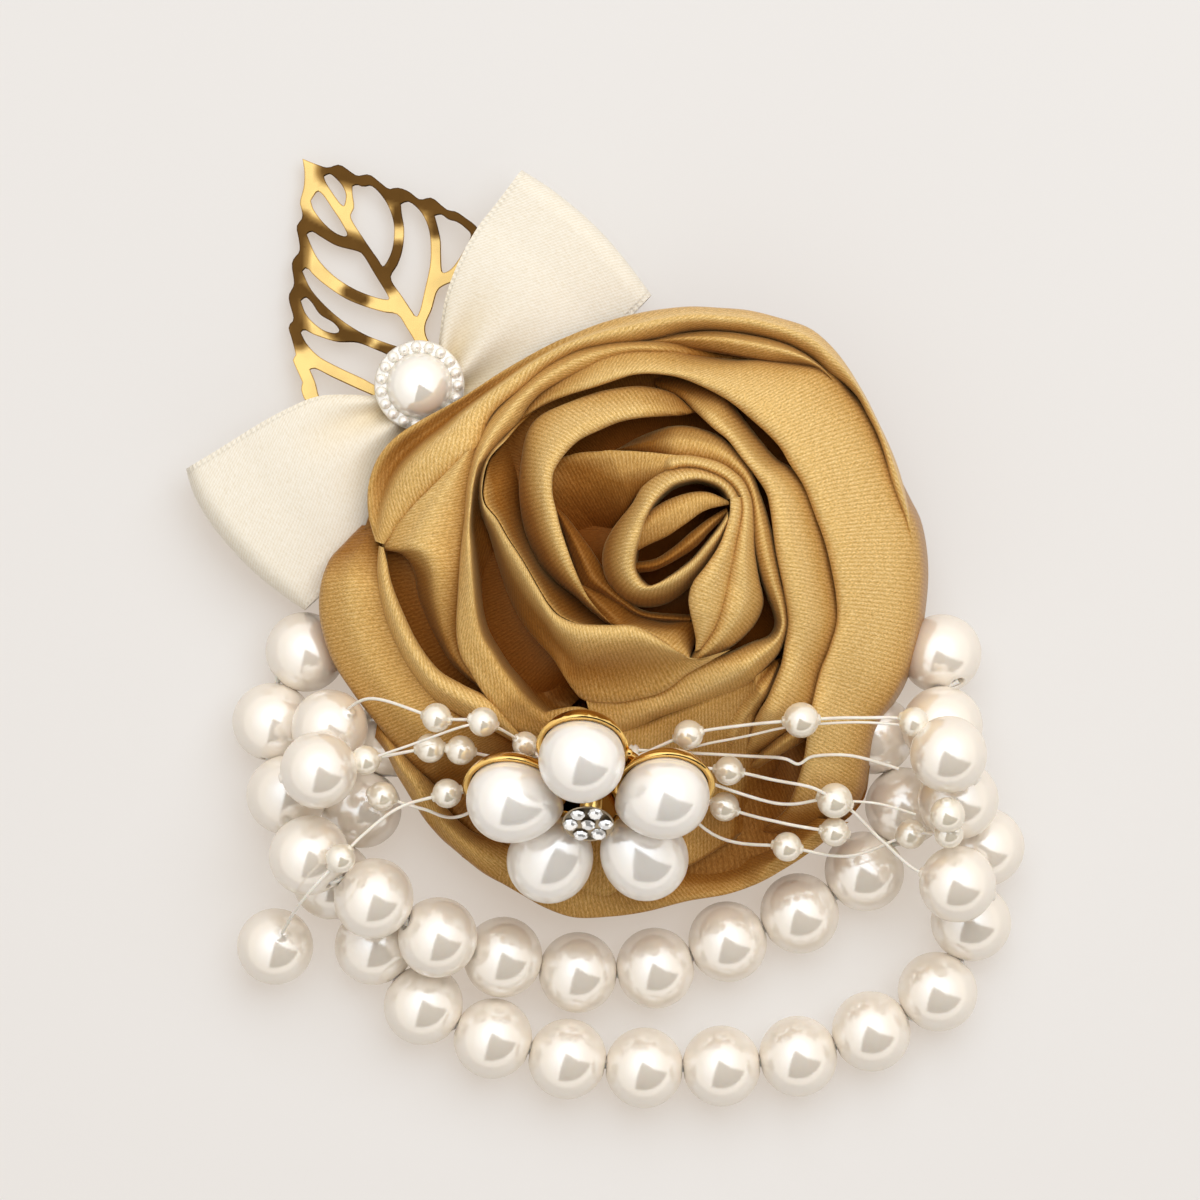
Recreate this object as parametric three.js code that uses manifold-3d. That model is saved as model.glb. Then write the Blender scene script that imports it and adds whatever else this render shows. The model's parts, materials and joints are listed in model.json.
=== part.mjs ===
// Wrist corsage: a rolled satin rose with a ribbon bow, a stamped leaf, a pearl brooch and sprays of moulded
// pearls on a felt backing, worn on two strands of pearls strung on elastic.
// Millimetres, +Z up, laid flat with the strands in front (-Y). Origin: centre of the backing's underside.
import * as THREE from "three";
import { mergeVertices } from "three/addons/utils/BufferGeometryUtils.js";
import Module from "manifold-3d";

const wasm = await Module();
wasm.setup();

const gap = 0.3; // between pieces that are glued, tied or seated on each other

// Backing felt and base disc
const feltThickness = 1.2;
const feltHalfLength = 18.5;
const feltHalfWidth = 15.5;
const feltTab = { reach: 23.6, halfWidth: 3.4 }; // along X, out under the knots
const feltLobe = { x: -17, y: 24, radius: 7 }; // carries the bow and the leaf
const discRadius = 15;
const discThickness = 3;
const grooveWidth = 1.9;
const grooveDepth = 1.5;

// Elastic
const elasticDiameter = 0.6;
const knotX = 22.5;
const knotRadius = 0.95;
const strandSplit = 0.62; // each strand leaves its knot this far above or below the knot's middle

// Strand pearls
const pearlDiameter = 7.8;
const pearlPlay = 0.08; // between neighbours on a strand
const boreDiameter = 1.8;
const boreEase = 0.9; // of the bore's edge, so that the elastic bends freely
const upperCount = 14;
const lowerCount = 17;
const upperLead = 8.6; // of elastic from the left knot to the first pearl's middle
const lowerLead = 10.1;

// Rose
const budPlace = { x: 6.1, y: 12.5 };
const crownHeight = 27;
const rimFrontHeight = 8.6;
const rimRise = 0.1; // of rim height per millimetre towards the back
const rimThickness = 1.6;
const foldTurns = 3.6;
const foldHeight = 1.5;
const roseBaseRadius = 14;
const hemHeight = 8.2; // of the cloth below the brooch
const clothGrain = 0.8; // room over the cloth for its folds

// Brooch
const broochPlace = new THREE.Vector3(-2.95, -16.2, 19);
const broochTilt = THREE.MathUtils.degToRad(47);
const broochRoll = THREE.MathUtils.degToRad(5);
const petalCount = 5;
const petalPitchRadius = 8.4;
const roundPetalRadius = 4.3;
const dropPetalRadius = 4.2;
const dropTipLength = 5.3;
const cupWall = 0.6;
const cupLip = 0.4; // of the cups above the middle of their pearls
const hubRadius = 6;
const hubThickness = 1.2;
const stemRadius = 1.1;
const crystalCupRadius = 2.65;
const crystalCupHeight = 1.1;
const crystalRadius = 0.72;
const crystalRing = 6;

// Spray
const lineDiameter = 0.5;
const seedRadius = 1.5;
const largeSeedRadius = 1.8;
const endPearlRadius = 3.9;
const bindingRadius = 1.7;
const bindingLength = 9;

// Bow, its binding and its cabochon
const bowPlace = { x: -20.4, y: 27.2 };
const bowTurn = THREE.MathUtils.degToRad(41.7);
const loopLength = 23.3;
const ribbonThickness = 0.5;
const ribbonHalfWidth = 9.6;
const pinchHalfWidth = 2.6;
const bowLift = 3.1; // underside of the bow's lower layer
const loopRise = 4; // between the lower and upper layers at a loop's fullest
const pinchRise = 1.1;
const ribbonCrown = 0.5; // of the upper layer across its width
const bindingBand = 0.5;
const bindingBreadth = 3.4;
const cabochonRadius = 4.6;
const domeRadius = 3.3;
const cabochonBase = 0.9;
const rimBeadRadius = 0.45;
const rimBeadCount = 19;

// Leaf
const leafBase = { x: -18.4, y: 28.6 };
const leafTurn = THREE.MathUtils.degToRad(122.4);
const leafLength = 25.7;
const leafHalfWidth = 10.3;
const leafThickness = 0.5;
const leafBorder = 1.1;
const veinWidth = 1.1;
const veinCount = 6;
const veinPitch = (0.8 * leafLength) / veinCount;
const leafStem = 2.4; // of the leaf behind its first vein, under the bow
const veinSlant = 0.62; // a vein leans this far towards the tip for each millimetre outwards

const discBottom = feltThickness + gap;
const discTop = discBottom + discThickness;
const roseBottom = discTop + gap;
const swingHeight = discBottom + grooveDepth / 2;
const leafBottom = feltThickness + gap;

const finish = (color, roughness, metalness) => new THREE.MeshStandardMaterial({ color, roughness, metalness });
const pearlFinish = finish(0xf4ede2, 0.18, 0);
const satinFinish = finish(0xc8a055, 0.42, 0);
const ribbonFinish = finish(0xf8efdc, 0.5, 0);
const goldFinish = finish(0xd9a441, 0.16, 1);
const elasticFinish = finish(0xe9e6e0, 0.4, 0);
const lineFinish = finish(0xf7f4ee, 0.3, 0);
const feltFinish = finish(0xefe7d6, 0.95, 0);
const boardFinish = finish(0xd8c8a8, 0.9, 0);
const crystalFinish = finish(0xf2f4f6, 0.05, 0);

// Position-only geometry with its shared vertices merged, as booleans need it.
function welded(geometry) {
  const bare = geometry.index ? geometry.toNonIndexed() : geometry.clone();
  bare.deleteAttribute("normal");
  bare.deleteAttribute("uv");
  return mergeVertices(bare, 1e-4);
}

function solid(geometry) {
  const merged = welded(geometry);
  const vertProperties = new Float32Array(merged.attributes.position.array);
  const triVerts = new Uint32Array(merged.index.array);
  return new wasm.Manifold(new wasm.Mesh({ numProp: 3, vertProperties, triVerts }));
}

function geometryOf(manifold) {
  const mesh = manifold.getMesh();
  const geometry = new THREE.BufferGeometry();
  geometry.setAttribute("position", new THREE.BufferAttribute(new Float32Array(mesh.vertProperties), 3));
  geometry.setIndex(new THREE.BufferAttribute(new Uint32Array(mesh.triVerts), 1));
  return geometry;
}

function named(name, geometry, material) {
  const mesh = new THREE.Mesh(geometry, material);
  mesh.name = name;
  return mesh;
}

// Closed skin over rings of points, each ring a loop of the same length, with a fan over each end.
function skin(rings) {
  const size = rings[0].length;
  const points = rings.flat();
  const first = points.length;
  for (const ring of [rings[0], rings.at(-1)]) {
    const middle = new THREE.Vector3();
    ring.forEach((p) => middle.addScaledVector(p, 1 / size));
    points.push(middle);
  }
  const faces = [];
  for (let i = 0; i < size; i++) {
    const j = (i + 1) % size;
    for (let r = 0; r + 1 < rings.length; r++) {
      const a = r * size;
      const b = a + size;
      faces.push(a + i, a + j, b + j, a + i, b + j, b + i);
    }
    const last = (rings.length - 1) * size;
    faces.push(first, j, i, first + 1, last + i, last + j);
  }
  const geometry = new THREE.BufferGeometry().setFromPoints(points);
  geometry.setIndex(faces);
  return geometry;
}

// Solid of revolution about Z from [radius, height] pairs, listed upwards along the outside.
function revolved(profile, segments) {
  const points = profile.map(([r, h]) => new THREE.Vector2(r, h));
  return new THREE.LatheGeometry(points, segments).rotateX(Math.PI / 2);
}

function ball(radius, place, detail) {
  return new THREE.SphereGeometry(radius, detail, Math.round(detail * 0.7)).translate(place.x, place.y, place.z);
}

function tube(curve, diameter, steps) {
  const section = new THREE.Shape().absarc(0, 0, diameter / 2, 0, 2 * Math.PI);
  return new THREE.ExtrudeGeometry(section, { steps, curveSegments: 3, extrudePath: curve });
}

const route = (points) => new THREE.CatmullRomCurve3(points.map((p) => new THREE.Vector3(...p)), false, "centripetal");

function flatExtrusion(shape, thickness, curveSegments) {
  return new THREE.ExtrudeGeometry(shape, { depth: thickness, bevelEnabled: false, curveSegments });
}

// Backing

function backingFelt() {
  const pad = new THREE.Shape().absellipse(0, 0, feltHalfLength, feltHalfWidth, 0, 2 * Math.PI);
  const lobe = new THREE.Shape().absarc(feltLobe.x, feltLobe.y, feltLobe.radius, 0, 2 * Math.PI);
  const side = new THREE.Vector2(feltLobe.y, -feltLobe.x).setLength(feltLobe.radius);
  const neck = new THREE.Shape([
    new THREE.Vector2(side.x, side.y),
    new THREE.Vector2(feltLobe.x + side.x, feltLobe.y + side.y),
    new THREE.Vector2(feltLobe.x - side.x, feltLobe.y - side.y),
    new THREE.Vector2(-side.x, -side.y),
  ]);
  const corner = feltTab.reach - feltTab.halfWidth;
  const tabs = new THREE.Shape()
    .absarc(corner, 0, feltTab.halfWidth, -Math.PI / 2, Math.PI / 2)
    .absarc(-corner, 0, feltTab.halfWidth, Math.PI / 2, (3 * Math.PI) / 2);
  const [body, ...rest] = [pad, tabs, neck, lobe].map((shape) => solid(flatExtrusion(shape, feltThickness, 20)));
  return geometryOf(rest.reduce((sum, next) => sum.add(next), body));
}

function baseDisc() {
  const disc = new THREE.CylinderGeometry(discRadius, discRadius, discThickness, 48).rotateX(Math.PI / 2);
  const groove = new THREE.BoxGeometry(2.2 * discRadius, grooveWidth, 2 * grooveDepth);
  groove.translate(0, 0, -discThickness / 2);
  const cut = geometryOf(solid(disc).subtract(solid(groove)));
  return cut.translate(0, 0, discBottom + discThickness / 2);
}

// Elastic

function backElastic() {
  const run = new THREE.LineCurve3(new THREE.Vector3(-knotX, 0, swingHeight), new THREE.Vector3(knotX, 0, swingHeight));
  let joined = solid(tube(run, elasticDiameter, 6));
  for (const side of [-1, 1]) {
    const bight = new THREE.TorusGeometry(knotRadius - elasticDiameter / 2, elasticDiameter / 2, 6, 12);
    bight.rotateY(Math.PI / 2).translate(side * knotX, 0, swingHeight);
    const core = ball(knotRadius - elasticDiameter / 2, new THREE.Vector3(side * knotX, 0, swingHeight), 8);
    joined = joined.add(solid(core)).add(solid(bight));
  }
  return geometryOf(joined);
}

const strandStart = knotX + knotRadius + gap;

// Routes of the two strands from the left knot to the right one, through the middles of their pearls.
const upperRoute = route([
  [-strandStart, 0, swingHeight + strandSplit],
  [-27, 0.3, 3.6],
  [-32.2, 0, 4.4],
  [-35.4, -6.8, 4.2],
  [-34.2, -13.2, 5.8],
  [-32, -20, 10.8],
  [-25.4, -24.6, 10.9],
  [-18.8, -28.8, 8.9],
  [-11.4, -31.2, 4.8],
  [-3.7, -32.7, 3.9],
  [4.2, -32.1, 3.9],
  [11.3, -29.4, 3.9],
  [18.8, -26.4, 3.9],
  [25.1, -22.2, 3.9],
  [29.2, -15.4, 3.9],
  [26, -8.3, 3.9],
  [26, -3, 3.2],
  [strandStart, 0, swingHeight - strandSplit],
]);
const lowerRoute = route([
  [-strandStart, 0, swingHeight - strandSplit],
  [-25.6, -3, 2.8],
  [-23.2, -9.2, 3.9],
  [-26.6, -16.4, 3.9],
  [-29.3, -24.2, 3.9],
  [-24.6, -30.4, 3.9],
  [-19.8, -36.2, 3.9],
  [-12.7, -39.5, 3.9],
  [-5.3, -41.5, 3.9],
  [2.5, -42.4, 3.9],
  [10.5, -42.2, 3.9],
  [18.3, -41.2, 3.9],
  [25.4, -38.8, 3.9],
  [32.2, -34.9, 3.9],
  [35.6, -28.2, 3.9],
  [37.4, -20.9, 4.2],
  [34.7, -16.1, 10.4],
  [32.8, -8, 9],
  [32.6, 0.1, 5.6],
  [28.4, 0.8, 3.4],
  [strandStart, 0, swingHeight + strandSplit],
]);

// A pearl with its bore and the bore's eased mouths, standing on Z.
function strandPearl() {
  const radius = pearlDiameter / 2;
  const bore = boreDiameter / 2;
  const mouth = bore + boreEase;
  const reach = Math.sqrt(radius ** 2 - mouth ** 2);
  const tilt = Math.acos(mouth / radius);
  const arcSteps = 5;
  const profile = [[bore, boreEase - reach]];
  for (let i = 0; i <= arcSteps; i++) {
    const angle = tilt * ((2 * i) / arcSteps - 1);
    profile.push([radius * Math.cos(angle), radius * Math.sin(angle)]);
  }
  profile.push([bore, reach - boreEase], profile[0]);
  return revolved(profile, 10);
}

// Middle and direction of each pearl along its route: neighbours stand one pitch apart.
function stringing(curve, count, lead) {
  const pitch = pearlDiameter + pearlPlay;
  const length = curve.getLength();
  const step = 0.02;
  const middles = [];
  for (let along = lead; middles.length < count && along < length; along += step) {
    const middle = curve.getPointAt(along / length);
    if (!middles.length || middle.distanceTo(middles.at(-1)) >= pitch) middles.push(middle);
  }
  return middles.map((middle, i) => {
    const before = middles[i - 1] ?? curve.points[1];
    const after = middles[i + 1] ?? curve.points.at(-2);
    return { middle, direction: after.clone().sub(before).normalize() };
  });
}

// A path that turns only at its own points, with one step of a tube between each two.
class ThreadPath extends THREE.Curve {
  constructor(points) {
    super();
    this.points = points;
  }
  getPointAt(share) {
    return this.points[Math.round(share * (this.points.length - 1))].clone();
  }
  getTangentAt(share) {
    const last = this.points.length - 1;
    const at = Math.round(share * last);
    const ahead = this.points[Math.min(at + 1, last)];
    return ahead.clone().sub(this.points[Math.max(at - 1, 0)]).normalize();
  }
}

// The elastic runs straight through each pearl and bends between them.
function strandElastic(curve, stops) {
  const half = pearlDiameter / 2;
  const points = [curve.points[0], curve.points[1]];
  for (const { middle, direction } of stops) {
    points.push(middle.clone().addScaledVector(direction, -half));
    points.push(middle.clone().addScaledVector(direction, half));
  }
  points.push(curve.points.at(-2), curve.points.at(-1));
  return tube(new ThreadPath(points), elasticDiameter, points.length - 1);
}

function strungPearls(name, stops) {
  return stops.map(({ middle, direction }, i) => {
    const pearl = named(`${name}_${String(i + 1).padStart(2, "0")}`, strandPearl(), pearlFinish);
    pearl.position.copy(middle);
    pearl.quaternion.setFromUnitVectors(new THREE.Vector3(0, 0, 1), direction);
    return pearl;
  });
}

// Rose

const roseOutline = new THREE.CatmullRomCurve3(
  [
    [30.4, 6.4],
    [29.2, 14.6],
    [25.4, 24.9],
    [19.2, 32.4],
    [6.9, 34.9],
    [-1.4, 33.2],
    [-15.9, 24.9],
    [-22.5, 21.3],
    [-25.8, 14.6],
    [-30.4, 6],
    [-28.3, -1.5],
    [-20.5, -14.3],
    [-9.8, -24.8],
    [0.7, -26.7],
    [16.4, -22.6],
    [24.8, -15],
    [26.3, -8.1],
    [29.4, -2.6],
  ].map(([x, y]) => new THREE.Vector3(x, y, 0)),
  true,
);

const roseFront = Math.min(...roseOutline.points.map((p) => p.y));
const broochNormal = new THREE.Vector3(0, -Math.sin(broochTilt), Math.cos(broochTilt));
const settingBack = -(roundPetalRadius + gap + cupWall); // of the brooch below the middle of its pearls
const bindingDepth = settingBack - gap - bindingRadius;
const seatDepth = bindingDepth - bindingRadius - gap;

// Height of the cloth's seat below the brooch and the spray's binding.
function seatHeight(y) {
  const seat = broochPlace.clone().addScaledVector(broochNormal, seatDepth);
  return Math.max(hemHeight, seat.z + (y - seat.y) * Math.tan(broochTilt));
}

// Top of the cloth at a share of the way from the bud (0) to the rim (1): folds wind outwards from the bud.
function clothHeight(place, share, angle) {
  const rim = rimFrontHeight + rimRise * (place.y - roseFront);
  const slope = rim + (crownHeight - rim) * (1 - share ** 1.25);
  const wind = foldTurns * share - angle / (2 * Math.PI);
  const fold = (wind - Math.floor(wind)) ** 2;
  const fade = Math.min(1, 5 * share) * Math.min(1, 6 * (1 - share));
  const natural = slope - foldHeight * fade * fold;
  const beside = Math.max(0, Math.abs(place.x - broochPlace.x) - 1.9 * petalPitchRadius);
  return Math.min(natural, seatHeight(place.y) + beside);
}

// Height at which something lies over the cloth, found along the line from the bud through its place.
function overCloth(x, y, lift) {
  const reach = new THREE.Vector2(x - budPlace.x, y - budPlace.y);
  const samples = 200;
  let nearest = null;
  for (let i = 0; i < samples; i++) {
    const rim = roseOutline.getPointAt(i / samples);
    const ray = new THREE.Vector2(rim.x - budPlace.x, rim.y - budPlace.y);
    const turn = Math.abs(ray.angleTo(reach));
    if (!nearest || turn < nearest.turn) nearest = { turn, share: reach.length() / ray.length(), angle: i / samples };
  }
  const height = clothHeight(new THREE.Vector3(x, y, 0), Math.min(1, nearest.share), 2 * Math.PI * nearest.angle);
  return [x, y, height + lift];
}

function satinRose() {
  const around = 52;
  const topRings = 17;
  const bud = new THREE.Vector3(budPlace.x, budPlace.y, 0);
  const rim = Array.from({ length: around }, (_, i) => roseOutline.getPointAt(i / around));
  const rings = [];
  const underside = [
    [0, roseBottom],
    [0.55, roseBottom + 1.2],
    [1, null],
  ];
  for (const [share, height] of underside) {
    rings.push(
      rim.map((p) => {
        const foot = new THREE.Vector3(p.x, p.y, 0).setLength(roseBaseRadius);
        const place = foot.lerp(p, share);
        place.z = height ?? clothHeight(p, 1, 0) - rimThickness;
        return place;
      }),
    );
  }
  for (let r = topRings; r >= 1; r--) {
    const share = r / topRings;
    rings.push(
      rim.map((p, i) => {
        const place = bud.clone().lerp(p, share);
        place.z = clothHeight(place, share, (2 * Math.PI * i) / around);
        return place;
      }),
    );
  }
  return skin(rings);
}

// Brooch

// Outline of a petal pearl about its own long axis, grown by an offset. Its tip points along +Z.
function petalProfile(radius, tip, offset) {
  const profile = [];
  const steps = 8;
  for (let i = 0; i <= steps; i++) {
    const angle = Math.PI * (i / steps - 0.5);
    const pull = i > steps / 2 ? tip / radius : 1;
    const slim = i > steps / 2 ? Math.cos(angle) ** (1 + 0.45 * (tip / radius - 1)) : Math.cos(angle);
    profile.push([i % steps ? radius * slim + offset : 0, Math.sin(angle) * (radius * pull + offset)]);
  }
  return profile;
}

// The round pearl stands at the top of the ring and the drops follow, tips to the middle.
function petals(offset, segments) {
  return Array.from({ length: petalCount }, (_, i) => {
    const angle = Math.PI / 2 + (2 * Math.PI * i) / petalCount;
    const radius = i === 0 ? roundPetalRadius : dropPetalRadius;
    const tip = i === 0 ? roundPetalRadius : dropTipLength;
    const petal = revolved(petalProfile(radius, tip, offset), segments);
    petal.rotateY(-Math.PI / 2).rotateZ(angle);
    return petal.translate(petalPitchRadius * Math.cos(angle), petalPitchRadius * Math.sin(angle), 0);
  });
}

function broochSetting() {
  const hub = new THREE.CylinderGeometry(hubRadius, hubRadius, hubThickness, 30).rotateX(Math.PI / 2);
  hub.translate(0, 0, settingBack + hubThickness / 2);
  const stemHeight = cupLip + gap - settingBack;
  const stem = new THREE.CylinderGeometry(stemRadius, stemRadius, stemHeight, 10).rotateX(Math.PI / 2);
  stem.translate(0, 0, settingBack + stemHeight / 2);
  const reach = 2 * (petalPitchRadius + dropTipLength);
  const above = new THREE.BoxGeometry(reach, reach, reach).translate(0, 0, cupLip + reach / 2);
  let setting = solid(hub);
  for (const cup of petals(gap + cupWall, 10)) {
    setting = setting.add(solid(cup));
  }
  setting = setting.subtract(solid(above)).add(solid(stem));
  for (const room of petals(gap, 10)) {
    setting = setting.subtract(solid(room));
  }
  return geometryOf(setting);
}

function crystalCluster() {
  const foot = cupLip + 2 * gap;
  const face = foot + crystalCupHeight;
  let cluster = solid(
    revolved(
      [
        [0, foot],
        [stemRadius, foot],
        [crystalCupRadius, face],
        [0, face],
      ],
      18,
    ),
  );
  for (let i = 0; i <= crystalRing; i++) {
    const angle = (2 * Math.PI * i) / crystalRing;
    const radius = i === crystalRing ? 0 : crystalCupRadius - crystalRadius - 0.15;
    const stone = new THREE.CylinderGeometry(crystalRadius * 0.55, crystalRadius, crystalRadius, 8);
    stone.rotateX(Math.PI / 2);
    stone.translate(radius * Math.cos(angle), radius * Math.sin(angle), face + crystalRadius * 0.4);
    cluster = cluster.add(solid(stone));
  }
  return geometryOf(cluster);
}

// Spray: nylon lines from the binding behind the brooch, with pearls moulded on them.

function placed(piece) {
  piece.position.copy(broochPlace);
  piece.rotation.set(broochTilt, 0, broochRoll);
  return piece;
}

function sprayBinding() {
  const wrap = new THREE.CylinderGeometry(bindingRadius, bindingRadius, bindingLength, 14).rotateZ(Math.PI / 2);
  return wrap.translate(0, 0, bindingDepth);
}

// Where a line leaves the binding: an end of the bundle, with the lines in two layers side by side.
function lineRoot(side, slot) {
  const spread = 0.78;
  const local = new THREE.Vector3(
    side * (bindingLength / 2 + gap),
    (Math.floor(slot / 2) - 1) * spread,
    bindingDepth + (slot % 2 ? 0.5 : -0.5) * spread,
  );
  local.applyEuler(new THREE.Euler(broochTilt, 0, broochRoll)).add(broochPlace);
  return local.toArray();
}

// One line through its points; seeds are [index of a point, radius of the pearl moulded there].
function sprayLine(points, seeds, branches = []) {
  let line = null;
  for (const run of [points, ...branches]) {
    const curve = route(run);
    const part = solid(tube(curve, lineDiameter, 2 * run.length));
    line = line ? line.add(part) : part;
  }
  for (const [index, radius] of seeds) {
    const detail = radius === endPearlRadius ? 11 : 7; // faces round a pearl
    line = line.add(solid(ball(radius, new THREE.Vector3(...points[index]), detail)));
  }
  return geometryOf(line);
}

const onCloth = lineDiameter / 2 + gap + clothGrain;
const seedOnCloth = seedRadius + gap + clothGrain;

const sprayLines = {
  spray_left_upper: sprayLine(
    [
      lineRoot(-1, 5),
      overCloth(-9.6, -9.2, onCloth),
      overCloth(-13.8, -6.9, seedOnCloth),
      overCloth(-18.5, -6.5, seedOnCloth),
      [-25.4, -4.6, 14.4],
      [-29.5, -7.6, 9.3],
    ],
    [
      [2, seedRadius],
      [3, seedRadius],
      [5, endPearlRadius],
    ],
  ),
  spray_left_middle: sprayLine(
    [
      lineRoot(-1, 4),
      overCloth(-12, -10.6, onCloth),
      overCloth(-16.1, -9.8, seedOnCloth),
      overCloth(-19.2, -9.6, seedOnCloth),
      [-25.7, -10.8, 15.4],
      [-30.4, -11.8, 16],
    ],
    [
      [2, seedRadius],
      [3, seedRadius],
      [4, seedRadius],
      [5, endPearlRadius],
    ],
    [[[-25.7, -10.8, 15.4], overCloth(-21, -9.2, 5.4), overCloth(-16.6, -7.5, 4.6)]],
  ),
  spray_left_short: sprayLine(
    [lineRoot(-1, 2), overCloth(-15.7, -16.4, 2.6), overCloth(-20, -15.8, 2.2), [-24.1, -14.5, 12.6]],
    [[3, seedRadius]],
  ),
  spray_left_lower: sprayLine(
    [
      lineRoot(-1, 3),
      overCloth(-17.5, -14.2, seedOnCloth + 2.2),
      [-22.3, -15.6, 14.9],
      [-26, -18.4, 15.5],
      [-28.2, -20.7, 16.2],
      [-32.4, -25.4, 14.6],
      [-35.2, -30, 4],
    ],
    [
      [1, seedRadius],
      [4, seedRadius],
      [6, endPearlRadius],
    ],
  ),
  spray_right_upper: sprayLine(
    [
      lineRoot(1, 5),
      overCloth(6.9, -8.2, seedOnCloth),
      overCloth(12, -7.3, 2 * onCloth),
      overCloth(18.2, -6.7, seedOnCloth + 0.3),
      [24, -6.5, 17.2],
      [29.6, -6.9, 17],
      [33.1, -10.2, 17],
    ],
    [
      [1, seedRadius],
      [3, largeSeedRadius],
      [5, seedRadius],
      [6, endPearlRadius],
    ],
  ),
  spray_right_curl: sprayLine(
    [
      lineRoot(1, 4),
      overCloth(12.5, -10.4, onCloth),
      overCloth(17, -10.7, onCloth),
      overCloth(18, -11.6, onCloth),
      overCloth(19.2, -10.2, onCloth),
      overCloth(23.5, -10.4, onCloth),
      [28.2, -11.7, 14.2],
    ],
    [],
  ),
  spray_right_middle: sprayLine(
    [
      lineRoot(1, 3),
      overCloth(11, -11.9, seedOnCloth + 0.8),
      overCloth(15.5, -12.8, 3.2),
      overCloth(19.2, -13.2, 3.4),
    ],
    [[1, seedRadius]],
  ),
  spray_right_long: sprayLine(
    [
      lineRoot(1, 2),
      overCloth(15.2, -15.1, 2.4),
      overCloth(21.7, -14.9, seedOnCloth + 0.6),
      [26.3, -18.8, 12.6],
      [30, -22, 12.4],
      [34.2, -23.4, 12],
    ],
    [
      [2, largeSeedRadius],
      [5, endPearlRadius],
    ],
    [[overCloth(21.7, -14.9, seedOnCloth + 0.6), [26, -15.2, 14.1], [29.9, -16.3, 14.4]]],
  ),
  spray_right_short: sprayLine(
    [
      lineRoot(1, 1),
      overCloth(10.6, -15.6, seedOnCloth),
      overCloth(16.5, -17.2, 1.9),
      overCloth(21.7, -18.1, seedOnCloth + 0.4),
    ],
    [
      [1, seedRadius],
      [3, seedRadius],
    ],
  ),
  spray_right_lower: sprayLine(
    [
      lineRoot(1, 0),
      overCloth(9.4, -18.4, onCloth),
      overCloth(16.9, -19.6, seedOnCloth),
      [23.3, -20.6, 10.4],
      [29.5, -18.4, 10.6],
      [33.2, -18.2, 15.6],
      [33, -16.3, 17],
    ],
    [
      [2, seedRadius],
      [4, seedRadius],
      [5, seedRadius],
      [6, largeSeedRadius],
    ],
  ),
};

// Bow: one ribbon folded into two loops, pinched in its middle.

// Half the ribbon's width at a distance from the pinch.
function bowHalfWidth(distance) {
  const share = Math.min(1, distance / (0.8 * loopLength));
  return pinchHalfWidth + (ribbonHalfWidth - pinchHalfWidth) * Math.sin((share * Math.PI) / 2) ** 1.3;
}

// Height of the loop's upper layer over its lower one at a distance from the pinch.
function bowRise(distance) {
  const share = Math.min(1, (1.35 * distance) / loopLength);
  return pinchRise + (loopRise - pinchRise) * Math.sin(share * Math.PI * 0.62);
}

// Height of the bow where the binding goes round it, over its underside.
const boundHeight = bowRise(bindingBreadth / 2) + ribbonThickness + ribbonCrown;
const boundHalfWidth = bowHalfWidth(bindingBreadth / 2);

function bowRibbon() {
  const across = 5;
  const stations = [];
  const foldSteps = 5;
  const runSteps = 7;
  const endRise = bowRise(loopLength) / 2;
  const lower = bowLift + ribbonThickness / 2;
  const walk = (side, outwards, isTop) => {
    for (let i = outwards ? 0 : runSteps; outwards ? i <= runSteps : i >= 0; i += outwards ? 1 : -1) {
      const distance = (i / runSteps) * (loopLength - endRise);
      const height = lower + (isTop ? bowRise(distance) : 0);
      stations.push({ s: side * distance, z: height, nx: 0, nz: isTop ? 1 : -1 });
    }
  };
  const turn = (side, upwards) => {
    for (let i = 1; i < foldSteps; i++) {
      const angle = Math.PI * (i / foldSteps - 0.5) * (upwards ? 1 : -1);
      const s = side * (loopLength - endRise + endRise * Math.cos(angle));
      const rise = bowRise(loopLength - endRise) / 2;
      stations.push({ s, z: lower + rise + rise * Math.sin(angle), nx: side * Math.cos(angle), nz: Math.sin(angle) });
    }
  };
  walk(-1, true, false);
  turn(-1, true);
  walk(-1, false, true);
  walk(1, true, true);
  turn(1, false);
  walk(1, false, false);
  // The two ends of the ribbon and the two halves of its top meet in the pinch, a little apart.
  const half = runSteps + foldSteps;
  stations[0].s -= gap;
  stations.at(-1).s += gap;
  stations.splice(half + runSteps, 1);
  const rings = stations.map(({ s, z, nx, nz }) => {
    const ring = [];
    for (const face of [1, -1]) {
      for (let i = 0; i < across; i++) {
        const side = face * (1 - (2 * i) / (across - 1));
        const thick = (face * ribbonThickness) / 2;
        const crown = ribbonCrown * (1 - side * side) * (nz > 0 ? 1 : 0);
        ring.push(new THREE.Vector3(s + nx * thick, side * bowHalfWidth(Math.abs(s)), z + nz * thick + crown));
      }
    }
    return ring;
  });
  return skin(rings);
}

function bowBinding() {
  const inner = new THREE.Shape();
  const outer = new THREE.Shape();
  for (const [shape, grow] of [
    [inner, gap],
    [outer, gap + bindingBand],
  ]) {
    const w = boundHalfWidth + grow;
    shape.moveTo(-w, bowLift - grow);
    shape.lineTo(w, bowLift - grow);
    shape.lineTo(w, bowLift + boundHeight + grow);
    shape.lineTo(-w, bowLift + boundHeight + grow);
  }
  outer.holes.push(inner);
  const band = flatExtrusion(outer, bindingBreadth, 4).translate(0, 0, -bindingBreadth / 2);
  return band.rotateX(Math.PI / 2).rotateZ(Math.PI / 2);
}

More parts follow.
